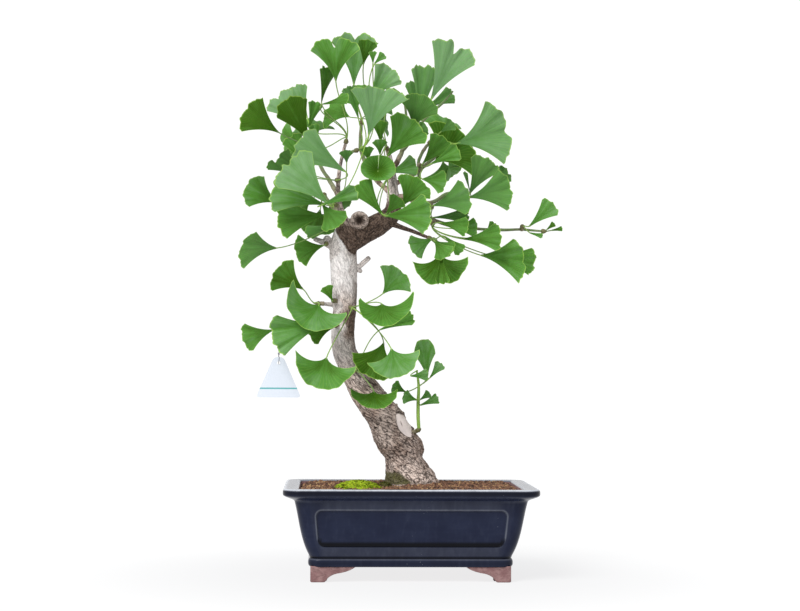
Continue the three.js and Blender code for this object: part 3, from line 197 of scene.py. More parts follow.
# Sprays of leaves, in the front view. A spray stands on the end of a bough ("on"), or on a woody spur that
# runs from one point to another ("from", "at"). Its tones say how light each leaf's green is, from 0 (deep
# olive) to 1 (pale and greyish), and are partly painted shade on leaves that lie deep in the crown; the
# upper sides of cool sprays are greyer. Leaf describes the rows. The zeros at a row's end are left out.
SPRAYS = [
    {
        "name": "leader", "on": "leader",
        "tones": (0.5, 0.3, 0.3, 0.45, 0.45),
        "leaves": [
            [-79, 519, -20, 92, 15, 0, 45, 40, 25, 10, 0.25], [-94, 496, -14, 82, 0, 55, 38, 26, 20],
            [-94, 494, -26, 8, 20, -50, 30, 26, 20], [-107, 469, 6, 75, 0, 20, 29, 19, 15],
            [-98, 449, -16, 100, 10, 30, 24, 19, 20],
        ],
    },
    {
        "name": "crest", "on": "spurTwig",
        "tones": (0.75, 0.2, 0.45, 0.5, 0.6, 0.35),
        "leaves": [
            [-60, 515, 18, 89, 0, 0, 56, 30, 20, -8, 0.12], [-50, 537, 2, 81, 10, 20, 26, 30, 30],
            [-40, 539, 0, 92, 0, 0, 12, 26, 20], [-38, 538, -4, 45, 0, 0, 14, 24, 20],
            [-55, 480, -4, 106, 0, 30, 35, 20, 15], [-44, 435, 4, 100, 0, 0, 15, 36, 20],
        ],
    },
    {
        "name": "bright", "from": [-76, 398, -6], "at": [-73, 400, -12], "cool": True,
        "tones": (0.95, 0.45),
        "leaves": [
            [-44, 462, -48, 77, 18, 0, 58, 36, 30, 10, 0, 0.06, 0.14],
            [-67, 433, -24, 95, 30, 0, 14, 36, 20],
        ],
    },
    {
        "name": "left_high", "on": "leftTwig",
        "tones": (0.05, 0.85, 0.75, 0.1, 0.3),
        "leaves": [
            [-139, 464, -20, 148, 10, 0, 43, 34, 30, 10], [-115, 472, 24, 131, -10, 0, 43, 27, 15, 0, 0.1],
            [-109, 480, 38, 108, -10, 0, 38, 18, 10], [-106, 455, -36, 121, 25, 0, 52, 28, 70],
            [-107, 427, 34, 120, -15, 0, 42, 18, 10],
        ],
    },
    {
        "name": "left_broad", "from": [-75, 414, -2], "at": [-77, 414, -9], "cool": True,
        "tones": (0.78, 0.15, 0.2),
        "leaves": [
            [-68, 423, -54, 150, 10, 10, 58, 25, 35, 8], [-113, 423, 12, 150, 0, 0, 30, 28, 15],
            [-130, 422, 6, 158, 0, 30, 22, 22, 15],
        ],
    },
    {
        "name": "left_front", "from": [-75, 386, -6], "at": [-78, 388, -14],
        "tones": (0.8, 0.65, 0.6, 0.45, 0.45, 0.35),
        "leaves": [
            [-86, 389, -72, 136, 12, 0, 60, 29, 35, 12, 0.08], [-90, 388, -52, 164, 8, 0, 56, 26, 20, 8],
            [-92, 388, -80, 22, 15, 15, 40, 16, 30], [-92, 388, -62, 305, 20, 0, 30, 36, 25],
            [-140, 390, -16, 155, 15, 0, 37, 40, 70], [-88, 377, -36, 186, 10, 0, 51, 27, 30, 10],
        ],
    },
    {
        "name": "left_low", "from": [-68, 369, -6], "at": [-72, 368, -14], "cool": True,
        "tones": (0.3, 0.4),
        "leaves": [
            [-140, 342, -32, 178, 10, 0, 38, 36, 25, 0, 0, -0.22], [-77, 368, -8, 200, 0, 50, 34, 26, 15],
        ],
    },
    {
        "name": "stub_leaf", "from": [-88, 347.5, -3], "at": [-88, 347, -7],
        "tones": (0.3,),
        "leaves": [
            [-91, 345, -15, 194, 0, 0, 30, 38, 15],
        ],
    },
    {
        "name": "centre_high", "from": [-22.5, 440, 2], "at": [-24, 446.5, -1],
        "tones": (0.75, 0.5, 0.45, 0.35, 0.4),
        "leaves": [
            [-44, 500, -24, 52, 10, 0, 40, 29, 35], [-26, 486, 14, 62, 0, 0, 27, 29, 20],
            [-24, 440, -30, 52, 15, 0, 47, 34, 30], [-31, 453, -12, 95, 10, 0, 24, 22, 20],
            [-32, 442, -24, 92, 20, 0, 16, 34, 20],
        ],
    },
    {
        "name": "centre_front", "from": [-19.5, 420, 3], "at": [-22, 418, -6],
        "tones": (0.4, 0.35, 0.5, 0.4, 0.65),
        "leaves": [
            [-34, 424, -54, 268, 12, 0, 18, 177, 0, -20], [-28, 377, -54, 128, 5, 0, 42, 20, 10],
            [-26, 377, -58, 2, 10, 0, 47, 29, 20], [-25, 379, -44, 50, 0, 0, 22, 30, 10],
            [-23, 422, -18, 18, 0, 0, 31, 24, 15],
        ],
    },
    {
        "name": "right_high", "on": "upRight", "cool": True,
        "tones": (0.98, 0.6, 0.5, 0.25, 0.45, 0.4),
        "leaves": [
            [21.5, 500, -8, 64, 8, 0, 65, 26, 20, 0, 0.18], [9, 477, 20, 83, -5, 0, 61, 16, 15],
            [7, 480, 32, 98, -5, 0, 41, 12, 10], [1.5, 470, -20, 70, 25, 0, 38, 42, 60],
            [16, 492, 24, 27, 0, 0, 33, 19, 10], [3, 463, -30, 30, 20, 0, 17, 32, 20],
        ],
    },
    {
        "name": "right_far", "on": "inner", "cool": True,
        "tones": (0.78, 0.45),
        "leaves": [
            [49, 454, -8, 16, 5, 0, 57, 41, 20, 10, 0.06], [32, 466, 4, 35, 0, 0, 17, 30, 30],
        ],
    },
    {
        "name": "right_inner", "from": [9, 431, 1], "at": [11.5, 430, -4],
        "tones": (0.3, 0.4, 0.45, 0.15),
        "leaves": [
            [13, 432, -28, 50, 10, 30, 36, 30, 20], [21.5, 432, -42, 25, 15, 0, 33, 19, 20],
            [13, 416, -30, 350, 10, 0, 25, 34, 20], [26, 434, 14, 40, -10, 0, 45, 62, 20],
        ],
    },
    {
        "name": "right_centre", "from": [-5, 397, 4], "at": [-7, 392, -2],
        "tones": (0.4,),
        "leaves": [
            [-8, 388, -24, 57, 10, 0, 33, 44, 25],
        ],
    },
    {
        "name": "right_mid", "from": [21, 391, 0], "at": [22.5, 387, -5], "cool": True,
        "tones": (0.4, 0.3),
        "leaves": [
            [24, 388, -26, 15, 10, 0, 40, 31, 20], [24, 375.5, -14, 5, 0, 45, 38, 18, 10],
        ],
    },
    {
        "name": "right_tip", "on": "midRight", "cool": True,
        "tones": (0.3, 0.35, 0.5, 0.3),
        "leaves": [
            [62, 400, -12, 62, 0, 0, 43, 26, 15], [62, 397, -28, 12, 8, 0, 45, 32, 20],
            [74, 404, 8, 35, -5, 0, 37, 18, 10], [63.5, 402, -24, 105, 0, 70, 23, 22, 10],
        ],
    },
    {
        "name": "right_low", "from": [26, 372.5, 8], "at": [24, 369, 0],
        "tones": (0.35, 0.4, 0.4, 0.45, 0.35, 0.4),
        "leaves": [
            [32, 370, -30, 350, 15, 0, 30, 22, 15], [45, 364, -16, 3, 0, 0, 26, 26, 10],
            [57, 353, -30, 3, 10, 0, 39, 24, 15], [75, 336, -18, 355, 8, 0, 46, 33, 20, 15, 0, 0.12],
            [84.5, 336, 4, 352, -5, 0, 49, 19, 10], [79, 357, -6, 52, 0, 0, 17, 20, 10],
        ],
    },
    {
        "name": "hanging", "on": "lowRight",
        "tones": (0.2, 0.25, 0.5, 0.4, 0.4, 0.45),
        "leaves": [
            [31, 337, -40, 276, 20, 0, 34, 74, 35, 10, 0.12], [33, 336, -66, 272, 15, 0, 31, 17, 50],
            [23.5, 353, -24, 207, 5, 0, 25, 36, 10], [26, 351, -62, 305, 25, 0, 23, 34, 30],
            [37, 355.5, -30, 318, 5, 0, 24, 20, 10], [24, 351, -40, 332, 10, 0, 24, 26, 10],
        ],
    },
    {
        "name": "long_tip", "from": [118, 363.5, 0], "at": [118.5, 366, -4],
        "leaves": [
            [126, 367, -4, 43, 0, 0, 35, 22, 20], [127, 360, -6, 345, 0, 0, 14, 14, 20, -30],
        ],
    },
    {
        "name": "twig_end", "on": "long",
        "leaves": [
            [145, 364, -2, 40, 0, 0, 10, 22, 20], [150, 363, 0, 10, 0, 0, 12, 16, 20],
        ],
    },
    {
        "name": "trunk_spur", "from": [-63, 280, -6], "at": [-61.5, 280, -15],
        "tones": (0.55, 0.4, 0.5, 0.6, 0.05),
        "leaves": [
            [-28, 295, 0, 50, 0, 0, 31, 48, 25], [-29, 284, -34, 272, 44, 0, 33, 96, 45, 0, 0, -0.2],
            [-87, 227, -52, 256, 40, 0, 39, 74, 45, 10], [-19, 237, -46, 284, 25, 0, 33, 68, 30],
            [-27, 243, -24, 250, 10, 0, 39, 52, 25],
        ],
    },
    {
        "name": "stub_pair", "from": [-90, 284, -3], "at": [-95, 284, -4],
        "tones": (0.25, 0.55),
        "leaves": [
            [-112, 299, -6, 146, 5, 0, 35, 38, 15], [-95, 283, -32, 243, 40, 0, 38, 92, 45, 0, 0, 0.12],
        ],
    },
    {
        "name": "left_trunk", "from": [-72, 262, -4], "at": [-77, 261, -13],
        "tones": (0.5, 0.4, 0.1),
        "leaves": [
            [-89, 263, -40, 195, 10, 0, 56, 25, 25, 10], [-143, 256, -18, 197, 0, 0, 33, 30, 15],
            [-80, 259, -22, 192, 0, 0, 26, 37, 10],
        ],
    },
    {
        "name": "low_spur", "from": [-57, 214, -8], "at": [-56, 214, -17],
        "tones": (0.2, 0.4),
        "leaves": [
            [-37, 192, -40, 268, 54, 0, 30, 74, 45], [-31, 257, 16, 22, 0, 0, 38, 14, 10],
        ],
    },
    {
        "name": "small_left", "from": [-74, 287, -6], "at": [-79, 287, -11],
        "tones": (0.2,),
        "leaves": [
            [-81, 287, -17, 115, 0, 0, 17, 28, 10],
        ],
    },
    {
        "name": "basal_shoot", "from": [-2, 146, -4], "at": [9, 151.5, -10],
        "tones": (0.58, 0.62, 0.62, 0.5, 0.58, 0.58, 0.58),
        "stem": [
            [10.5, 152.6, -10.6, 1.8], [9.6, 166, -12, 1.9], [9.6, 182, -11, 1.8], [10, 198, -10, 1.5],
            [8, 214, -9, 1],
        ],
        "leaves": [
            [19, 207, -12, 96, 0, 0, 28, 25, 15, 0, 0, 0, -0.45], [22, 207, -6, 52, 0, 0, 19, 22, 10],
            [2, 208.5, -18, 5, 0, 0, 18, 24, 15], [-4, 192, -8, 155, 0, 0, 15, 34, 15],
            [8, 183.5, -20, 165, 0, 0, 15, 34, 15], [12, 178, -14, 22, 0, 0, 21, 19, 40, 30],
            [12, 184, -4, 35, 0, 0, 12, 27, 10],
        ],
    },
]


# Boughs on the far side: [name, number of leaves, aim of the first and of the last]
BACK_SPURS = [
    ["backLeft", 4, 95, 215],
    ["backMid", 4, 15, 150],
    ["backRight", 5, -75, 80],
    ["backLow", 3, 200, 310],
]

# ---------------------------------------------------------------- numbers


def unit(vector):
    return vector / np.linalg.norm(vector)


def place(x, z, y=0.0):
    """The point seen at x, z from the front, slid along the line of sight to depth y."""
    seen = np.array((x, 0.0, z))
    return EYE + (seen - EYE) * ((y - EYE[1]) / -EYE[1])


def seeded(state, factor=16807, prime=2 ** 31 - 1):
    """Repeatable numbers from 0 to 1."""
    while True:
        state = state * factor % prime
        yield state / prime


def smooth_step(value, low, high):
    t = np.clip((value - low) / (high - low), 0, 1)
    return t * t * (3 - 2 * t)


def hill(value, middle, wide, power=2):
    """1 at the middle, falling smoothly to 0 on both sides."""
    return np.exp(-((value - middle) / wide) ** power)


def quarter_turn(quarter):
    """The matrix that turns rows of x and y by quarters of a circle."""
    c, s = math.cos(quarter * math.pi / 2), math.sin(quarter * math.pi / 2)
    return np.array([[c, s], [-s, c]])


def srgb(red, green, blue):
    """A screen colour of 0 to 255 as the linear numbers that materials use."""
    return tuple(
        c / 12.92 if c <= 0.04045 else ((c + 0.055) / 1.055) ** 2.4
        for c in (red / 255, green / 255, blue / 255)
    )


def limb_path(stations, steps):
    """Points and radii along the curve through a limb's stations."""
    knots = np.array([place(x, z, y) for x, z, y, _ in stations])
    knots = np.vstack([2 * knots[:1] - knots[1:2], knots, 2 * knots[-1:] - knots[-2:-1]])
    gaps = np.linalg.norm(np.diff(knots, axis=0), axis=1) ** 0.5
    spans = len(stations) - 1
    points, radii = [], []
    for s in np.linspace(0, spans, steps + 1):
        k = min(int(s), spans - 1)
        w = s - k
        p0, p1, p2, p3 = knots[k:k + 4]
        d0, d1, d2 = gaps[k:k + 3]
        t1 = d1 * ((p1 - p0) / d0 - (p2 - p0) / (d0 + d1) + (p2 - p1) / d1)
        t2 = d1 * ((p2 - p1) / d1 - (p3 - p1) / (d1 + d2) + (p3 - p2) / d2)
        bend = w * w * (3 * p2 - 3 * p1 - 2 * t1 - t2) + w ** 3 * (2 * p1 - 2 * p2 + t1 + t2)
        points.append(p1 + w * t1 + bend)
        radii.append((1 - w) * stations[k][3] + w * stations[k + 1][3])
    return np.array(points), np.array(radii)


def bezier(a, b, c, d, t):
    t = t[:, None]
    return (1 - t) ** 3 * a + 3 * (1 - t) ** 2 * t * b + 3 * (1 - t) * t * t * c + t ** 3 * d


def frames_along(points, first, level=0):
    """Axes (along, across, up) at each point of a path, without twist; up to height level they lie flat."""
    after = np.vstack([points[1:], points[-1:]])
    before = np.vstack([points[:1], points[:-1]])
    across = np.array(first, float)
    frames = []
    for point, ahead in zip(points, after - before):
        along = unit(ahead)
        if level > 0:
            flat = 1 - smooth_step(point[2], level, level + 50)
            along = unit(along * (1 - flat) + np.array((0, 0, flat)))
        across = unit(across - along * (across @ along))
        frames.append((along, across, np.cross(along, across)))
    return np.array(frames)


# ---------------------------------------------------------------- shapes


def shaped_grid(bm, columns, rows, shape):
    """A grid of faces whose corners stand where shape(u, v) says, for u and v from 0 to 1."""
    made = bmesh.ops.create_grid(bm, x_segments=columns, y_segments=rows, size=0.5, calc_uvs=True)
    verts = made["verts"]
    flat = np.array([v.co[:2] for v in verts]) + 0.5
    for vert, point in zip(verts, shape(flat[:, 0], flat[:, 1])):
        vert.co = point
    return verts


def wrapped(bm, rings):
    """A skin over rings of points, closed round each ring."""
    rows, columns = len(rings) - 1, rings.shape[1]
    return shaped_grid(bm, columns, rows, lambda u, v: rings[
        np.rint(v * rows).astype(int), np.rint(u * columns).astype(int) % columns])


def capped(bm):
    """Closes every open edge of a bmesh with a face."""
    bmesh.ops.holes_fill(bm, edges=[edge for edge in bm.edges if edge.is_boundary])


def tube(bm, points, radii, sides, first=(0.1, 1, 0.2), skin=None, tip=0.0, level=0):
    """A closed round tube along a path. skin(turn, t) scales its radius, and tip domes its far end."""
    frames = frames_along(points, first, level)
    steps = len(points)
    centres = np.vstack([points[:1], points, points[-1:] + tip * radii[-1] * frames[-1, 0]])
    spokes = np.concatenate([[0], radii, [0]])
    axes = np.concatenate([frames[:1], frames, frames[-1:]])
    if tip:
        shoulder = 0.7 * radii[-1]
        round_off = points[-1:] + tip * shoulder * frames[-1, 0]
        centres = np.insert(centres, -1, round_off, axis=0)
        spokes = np.insert(spokes, -1, shoulder)
        axes = np.concatenate([axes, axes[-1:]])
    rows = len(centres) - 1

    def shape(u, v):
        k = np.rint(v * rows).astype(int)
        turn = 2 * np.pi * u
        r = spokes[k]
        if skin is not None:
            r = r * skin(turn, np.clip((k - 1) / (steps - 1), 0, 1))
        return (centres[k] + (r * np.cos(turn))[:, None] * axes[k, 1]
                + (r * np.sin(turn))[:, None] * axes[k, 2])

    return shaped_grid(bm, sides, rows, shape)


def repeated(bm, times):
    """Copies everything in a bmesh until it holds that many times as much; times is a power of 2."""
    for _ in range(int(math.log2(times))):
        bmesh.ops.duplicate(bm, geom=bm.verts[:] + bm.edges[:] + bm.faces[:])


def scattered(bm, count, matrices):
    """Sets each of count equal shapes in a bmesh in its own place, and gives them as a mesh."""
    mesh = mesh_from(bm, "scattered")
    points = points_of(mesh).reshape(count, -1, 3)
    matrices = np.array(matrices)
    points = np.einsum("nij,nkj->nki", matrices[:, :3, :3], points) + matrices[:, None, :3, 3]
    mesh.vertices.foreach_set("co", points.ravel())
    return mesh


def mark(mesh, name, values):
    """Keeps a number for each corner point of a mesh, for its material to read."""
    mesh.attributes.new(name, "FLOAT", "POINT").data.foreach_set("value", np.asarray(values, np.float32))


def points_of(mesh):
    points = np.empty(len(mesh.vertices) * 3)
    mesh.vertices.foreach_get("co", points)
    return points.reshape(-1, 3)


def normals_of(mesh):
    normals = np.empty(len(mesh.vertices) * 3, np.float32)
    mesh.vertices.foreach_get("normal", normals)
    return normals.reshape(-1, 3).astype(float)


def mesh_from(bm, name, weld=0.0):
    """A bmesh as a mesh, after joining its points that are closer together than weld."""
    if weld:
        bmesh.ops.remove_doubles(bm, verts=bm.verts, dist=weld)
    mesh = bpy.data.meshes.new(name)
    bm.to_mesh(mesh)
    bm.free()
    return mesh


def settled(obj):
    """The object's mesh with its modifiers applied."""
    graph = bpy.context.evaluated_depsgraph_get()
    mesh = bpy.data.meshes.new_from_object(obj.evaluated_get(graph))
    obj.modifiers.clear()
    obj.data = mesh
    return mesh


def linked(name, mesh):
    obj = bpy.data.objects.new(name, mesh)
    bpy.context.scene.collection.objects.link(obj)
    return obj


def piece(name, mesh, materials, slot, *replaced, smooth=True):
    """A finished piece of the object, from a mesh in millimetres about the pot."""
    mesh.transform(TO_FRAME)
    mesh.name = name
    mesh.polygons.foreach_set("use_smooth", [smooth] * len(mesh.polygons))
    mesh.update()
    obj = linked(name, mesh)
    for material in materials:
        mesh.materials.append(material)
    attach(obj, "root")
    if replaced:
        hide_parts(*replaced)
    return obj


def dressed(node, material):
    """Gives a node of the frame its material."""
    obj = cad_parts[node]
    obj.data.materials.clear()
    obj.data.materials.append(material)
    return obj


# ---------------------------------------------------------------- materials


class Value:
    """One socket of a material, with arithmetic that adds the nodes for it."""

    def __init__(self, look, socket):
        self.look = look
        self.socket = socket

    def math(self, operation, *others):
        return self.look.add("ShaderNodeMath", {"operation": operation}, {
            k: other for k, other in enumerate((self, *others))})

    def __add__(self, other):
        return self.math("ADD", other)

    def __sub__(self, other):
        return self.math("SUBTRACT", other)

    def __mul__(self, other):
        return self.math("MULTIPLY", other)

    def __rsub__(self, other):
        return self.look.add("ShaderNodeMath", {"operation": "SUBTRACT"}, {0: other, 1: self})

    __radd__ = __add__
    __rmul__ = __mul__

    def clamp(self):
        return self.look.add("ShaderNodeClamp", {}, {0: self})

    def step(self, low, high):
        """0 below low and 1 above high, with a soft step between."""
        return self.look.add("ShaderNodeMapRange", {"interpolation_type": "SMOOTHSTEP"}, {
            "Value": self, "From Min": low, "From Max": high})


class Look:
    """A material, made by adding nodes in front of its shader."""

    def __init__(self, name, **constants):
        self.material = bpy.data.materials.new(name)
        self.material.use_nodes = True
        self.tree = self.material.node_tree
        self.shader = self.tree.nodes["Principled BSDF"]
        for name, value in constants.items():
            socket = name.replace("_", " ").title().replace("Ior", "IOR")
            self.shader.inputs[socket].default_value = value

    def put(self, socket, value):
        if isinstance(value, Value):
            self.tree.links.new(value.socket, socket)
        elif socket.type == "RGBA" and len(value) == 3:
            socket.default_value = (*value, 1)
        else:
            socket.default_value = value

    def add(self, kind, settings, sockets, out=0):
        """A node of the given type: its settings first, then the values or links of its sockets."""
        node = self.tree.nodes.new(kind)
        for setting, value in settings.items():
            if setting == "stops":
                self.set_stops(node.color_ramp, value)
            else:
                setattr(node, setting, value)
        for socket, value in sockets.items():
            self.put(node.inputs[socket], value)
        return Value(self, node.outputs[out])

    @staticmethod
    def set_stops(ramp, stops):
        while len(ramp.elements) < len(stops):
            ramp.elements.new(1)
        for element, (position, colour) in zip(ramp.elements, stops):
            element.position = position
            element.color = (*colour, 1)

    def mix(self, factor, a, b, blend="MIX"):
        return self.add("ShaderNodeMix", {"data_type": "RGBA", "blend_type": blend, "clamp_factor": True},
                        {0: factor, 6: a, 7: b}, out=2)

    def millimetres(self, stretch=(1, 1, 1), turn=(0, 0, 0)):
        """Object coordinates in millimetres, stretched and turned."""
        where = self.add("ShaderNodeTexCoord", {}, {}, out=3)
        return self.add("ShaderNodeMapping", {}, {
            "Vector": where, "Rotation": turn, "Scale": tuple(1000 * s for s in stretch)})

    def noise(self, where, size, detail=3, roughness=0.55, distortion=0.0):
        """Noise from 0 to 1, in lumps of about size millimetres."""
        return self.add("ShaderNodeTexNoise", {}, {
            "Vector": where, "Scale": 1 / size, "Detail": detail, "Roughness": roughness,
            "Distortion": distortion})

    def cells(self, where, size, feature="F1"):
        """How far each point is from the middle of its cell, or from the feature named."""
        return self.add("ShaderNodeTexVoronoi", {"feature": feature}, {"Vector": where, "Scale": 1 / size})

    def attribute(self, name):
        return self.add("ShaderNodeAttribute", {"attribute_name": name}, {}, out=2)

    def fissures(self, name, size, wave):
        """Wavy cracks between plates, in the coordinates that a mesh keeps under a name."""
        grain = self.add("ShaderNodeAttribute", {"attribute_name": name}, {}, out=1)
        bend = self.add("ShaderNodeTexNoise", {}, {
            "Vector": grain, "Scale": 1.1 / size, "Detail": 2}, out=1)
        wavy = self.add("ShaderNodeVectorMath", {"operation": "MULTIPLY_ADD"}, {
            0: bend, 1: (wave, wave, wave), 2: grain})
        return 1 - self.cells(wavy, size, "DISTANCE_TO_EDGE").step(0.02, 0.11)

    def parts(self, vector):
        """The x, y and z of a vector."""
        first = self.add("ShaderNodeSeparateXYZ", {}, {0: vector})
        node = first.socket.node
        return [Value(self, output) for output in node.outputs]

    def bump(self, height, strength, distance):
        return self.add("ShaderNodeBump", {}, {
            "Height": height, "Strength": strength, "Distance": distance})

    def glow(self, colour):
        """The colour of the light that the material gives, which isn't searched for as a lamp."""
        self.put(self.shader.inputs["Emission Color"], colour)
        self.material.cycles.emission_sampling = "NONE"

    def finish(self, colour=None, roughness=None, normal=None):
        for socket, value in (("Base Color", colour), ("Roughness", roughness), ("Normal", normal)):
            if value is not None:
                self.put(self.shader.inputs[socket], value)
        return self.material


def leaf_look(colours):
    """Ginkgo leaf: forking veins on a satin blade, a pale margin with a painted highlight, a greyer
    underside and green stalks, with painted shade deep in its cup by the stalk and along its pleats.
    """
    look = Look("ginkgo_leaf", specular_ior_level=0.08, subsurface_weight=0.1, subsurface_scale=0.002,
                subsurface_radius=(0.35, 1.0, 0.15))
    uv = look.parts(look.add("ShaderNodeUVMap", {}, {}))
    across, along = uv[0], uv[1]
    where = look.millimetres()
    tone = look.attribute("tone")
    under = look.attribute("under")
    stalk = look.attribute("stalk")
    cupped = look.attribute("cupped")
    veins = None
    for count, low, high in ((22, -0.2, 0.0), (44, 0.25, 0.4), (88, 0.55, 0.7)):
        line = (across * count).math("PINGPONG", 0.5) * 2
        line = (1 - line.step(0.0, 0.55)) * along.step(low, high)
        veins = line if veins is None else veins.math("MAXIMUM", line * 0.8)
    patches = look.noise(where, 12, 3)
    fine = look.noise(where, 1.6, 2)
    fan = look.add("ShaderNodeCombineXYZ", {}, {0: across * 7, 1: along * 1.2, 2: tone * 20})
    fold_shading = look.noise(fan, 1, 2)
    # The green is darker toward the stalk and in stripes along the pleats: painted shade and light over
    # each leaf's tone and random patches
    light = tone + (patches - 0.5) * 0.4 + (fold_shading - 0.5) * 0.65 + along.step(0.1, 1.0) * 0.2 - 0.1
    green = {"stops": ((0.12, colours.leaf_deep), (0.52, colours.leaf_fresh), (1.0, colours.leaf_pale))}
    blade = look.add("ShaderNodeValToRGB", green, {0: light})
    below = look.mix(patches * 0.6, colours.leaf_under, colours.leaf_fresh)
    blade = look.mix(under * 0.65, blade, below)
    # Painted shade deep in a cupped leaf, strongest by the stalk
    throat_shade = cupped * (1 - along.step(0.05, 0.8))
    blade = look.mix(throat_shade * 0.9, blade, colours.leaf_deep)
    blade = look.mix(veins * 0.13, blade, colours.leaf_margin)
    blade = look.mix(fine.step(0.55, 0.8) * 0.15, blade, colours.leaf_deep)
    side = (across - 0.5).math("ABSOLUTE")
    # The blade's own pale margin, also a painted highlight all along the edge where it catches the light
    rim = along.step(0.968, 0.992).math("MAXIMUM", side.step(0.488, 0.499))
    blade = look.mix(rim * (0.2 + patches * 0.75) * (1 - under * 0.5), blade, colours.leaf_margin)
    shoots = look.mix(tone, colours.stalk, colours.leaf_margin)
    shoots = look.mix(fine.step(0.5, 0.8) * 0.4, shoots, colours.bud)
    buds = look.mix(fine * 0.6, colours.bud, colours.stalk)
    shoots = look.mix(stalk.step(0.6, 0.9), shoots, buds)
    colour = look.mix(stalk.step(0.2, 0.4), blade, shoots)
    roughness = 0.44 + under * 0.16 + fine * 0.1
    height = veins * (0.08 + under * 0.12) + fine * 0.04 + patches * 0.3 + fold_shading * along.step(0.0, 0.6)
    return look.finish(colour, roughness, look.bump(height, 0.6, 0.0014))


def bark_look(colours):
    """Ginkgo bark: pale plates between dark cracks, browner low down and on the right bough, and painted
    shade down the trunk's right side.
    """
    look = Look("bark", specular_ior_level=0.2)
    where = look.millimetres()
    tall = look.millimetres((1, 1, 0.35), (0, 0.35, 0))
    crack = look.attribute("crack")
    pale = look.attribute("pale")
    dark = look.attribute("dark")
    green = look.attribute("green")
    scar = look.attribute("scar")
    furrow = look.fissures("grain", 0.85, 1.3)
    thread = look.fissures("grain", 0.42, 0.6)
    patches = look.noise(where, 16, 4)
    grain = look.noise(tall, 1.5, 4, 0.65)
    specks = look.noise(where, 0.9, 3, 0.6)
    plates = look.mix(patches.step(0.35, 0.65), colours.bark_low, colours.bark_low_light)
    high = look.mix(patches.step(0.4, 0.7), colours.bark_pale, colours.bark_pale_grey)
    wood = look.mix(pale, plates, high)
    brown = look.mix(grain.step(0.35, 0.7) * 0.45, colours.bark_dark, colours.bark_low)
    # The dark mark: brown wood, and painted shade down the trunk's right side
    wood = look.mix((dark * 1.7 - specks * 0.7).clamp(), wood, brown)
    wood = look.mix(grain.step(0.5, 0.72) * (0.22 - pale * 0.1), wood, colours.crack)
    wood = look.mix(specks.step(0.6, 0.74) * (0.12 + dark * 0.5), wood, colours.crack)
    wood = look.mix(thread * (0.25 - pale * 0.1) * (1 - scar), wood, colours.crack)
    wood = look.mix(furrow * (0.78 - pale * 0.5) * (1 - scar), wood, colours.crack)
    wood = look.mix(crack * (0.88 - pale * 0.56), wood, colours.crack)
    wood = look.mix(scar * (0.98 - grain * 0.2), wood, colours.scar)
    wood = look.mix(look.attribute("hollow") * 0.95, wood, colours.crack)
    growth = (green * 1.5 - specks * 0.5).step(0.25, 0.7)
    algae = look.mix(specks.step(0.35, 0.65), colours.algae_dark, colours.algae)
    wood = look.mix(growth * 0.9, wood, algae)
    height = grain * 0.6 + specks * 0.35 - crack * 0.5 - (furrow * 0.8 + thread * 0.3) * (1 - scar)
    return look.finish(wood, 0.78 + grain * 0.2, look.bump(height, 0.6, 0.0006))


def twig_look(colours):
    """Young wood: grey-green skin with brown rings and specks, turning to bark as it thickens."""
    look = Look("young_twig", specular_ior_level=0.25)
    where = look.millimetres()
    age = look.attribute("age")
    patches = look.noise(where, 7, 3)
    rings = look.noise(look.millimetres((0.4, 0.4, 1)), 1.4, 3)
    specks = look.noise(where, 0.8, 3)
    skin = look.mix(patches.step(0.25, 0.6), colours.twig, colours.stalk)
    skin = look.mix(age, skin, look.mix(patches.step(0.4, 0.6), colours.bark_dark, colours.bark_low))
    skin = look.mix(rings.step(0.5, 0.7) * 0.45, skin, colours.bark_dark)
    skin = look.mix(specks.step(0.56, 0.74) * 0.4, skin, colours.crack)
    return look.finish(skin, 0.62 + rings * 0.25, look.bump(rings + specks * 0.4, 0.4, 0.0003))


def glaze_look(colours):
    """Navy glaze: slate and pale where it breaks over an edge, with painted highlights on the rim and round
    the panels, and nearly black where it has pooled, which also paints the shade in its grooves and under
    the rim.
    """
    look = Look("navy_glaze", specular_ior_level=0.09, coat_weight=0.07, coat_roughness=0.08)
    where = look.millimetres()
    edge = look.attribute("edge")
    pool = look.attribute("pool")
    cloud = look.noise(where, 26, 3)
    flow = look.noise(look.millimetres((1, 1, 0.25)), 5, 3)
    runs = look.noise(look.millimetres((0.12, 0.12, 1)), 3, 2)
    pores = look.cells(where, 3.2)
    colour = look.mix(cloud.step(0.3, 0.7) * 0.5 + flow * 0.3, colours.glaze_deep, colours.glaze)
    thin = flow.step(0.5, 0.85) * 0.1 + runs.step(0.45, 0.75) * 0.03
    colour = look.mix(thin, colour, colours.glaze_slate)
    # Pale glaze breaking over edges, together with painted highlights along the rim's top and a painted
    # sheen and highlight round the panels
    colour = look.mix((edge * (0.16 + flow * 0.26)).clamp(), colour, colours.glaze_pale_and_highlight)
    # Near black: pooled glaze, together with painted shade in the grooves, under the rim's front and along
    # the panels' lower edges
    colour = look.mix(pool * 0.95, colour, colours.glaze_pool_shade)
    pinholes = 1 - pores.step(0.03, 0.07)
    colour = look.mix(pinholes * cloud.step(0.55, 0.64) * 0.7, colour, colours.glaze_pale_and_highlight)
    roughness = 0.13 + cloud * 0.07 + edge * 0.03
    height = flow * 0.5 + cloud - pinholes * 0.3
    return look.finish(colour, roughness, look.bump(height, 0.12, 0.0008))


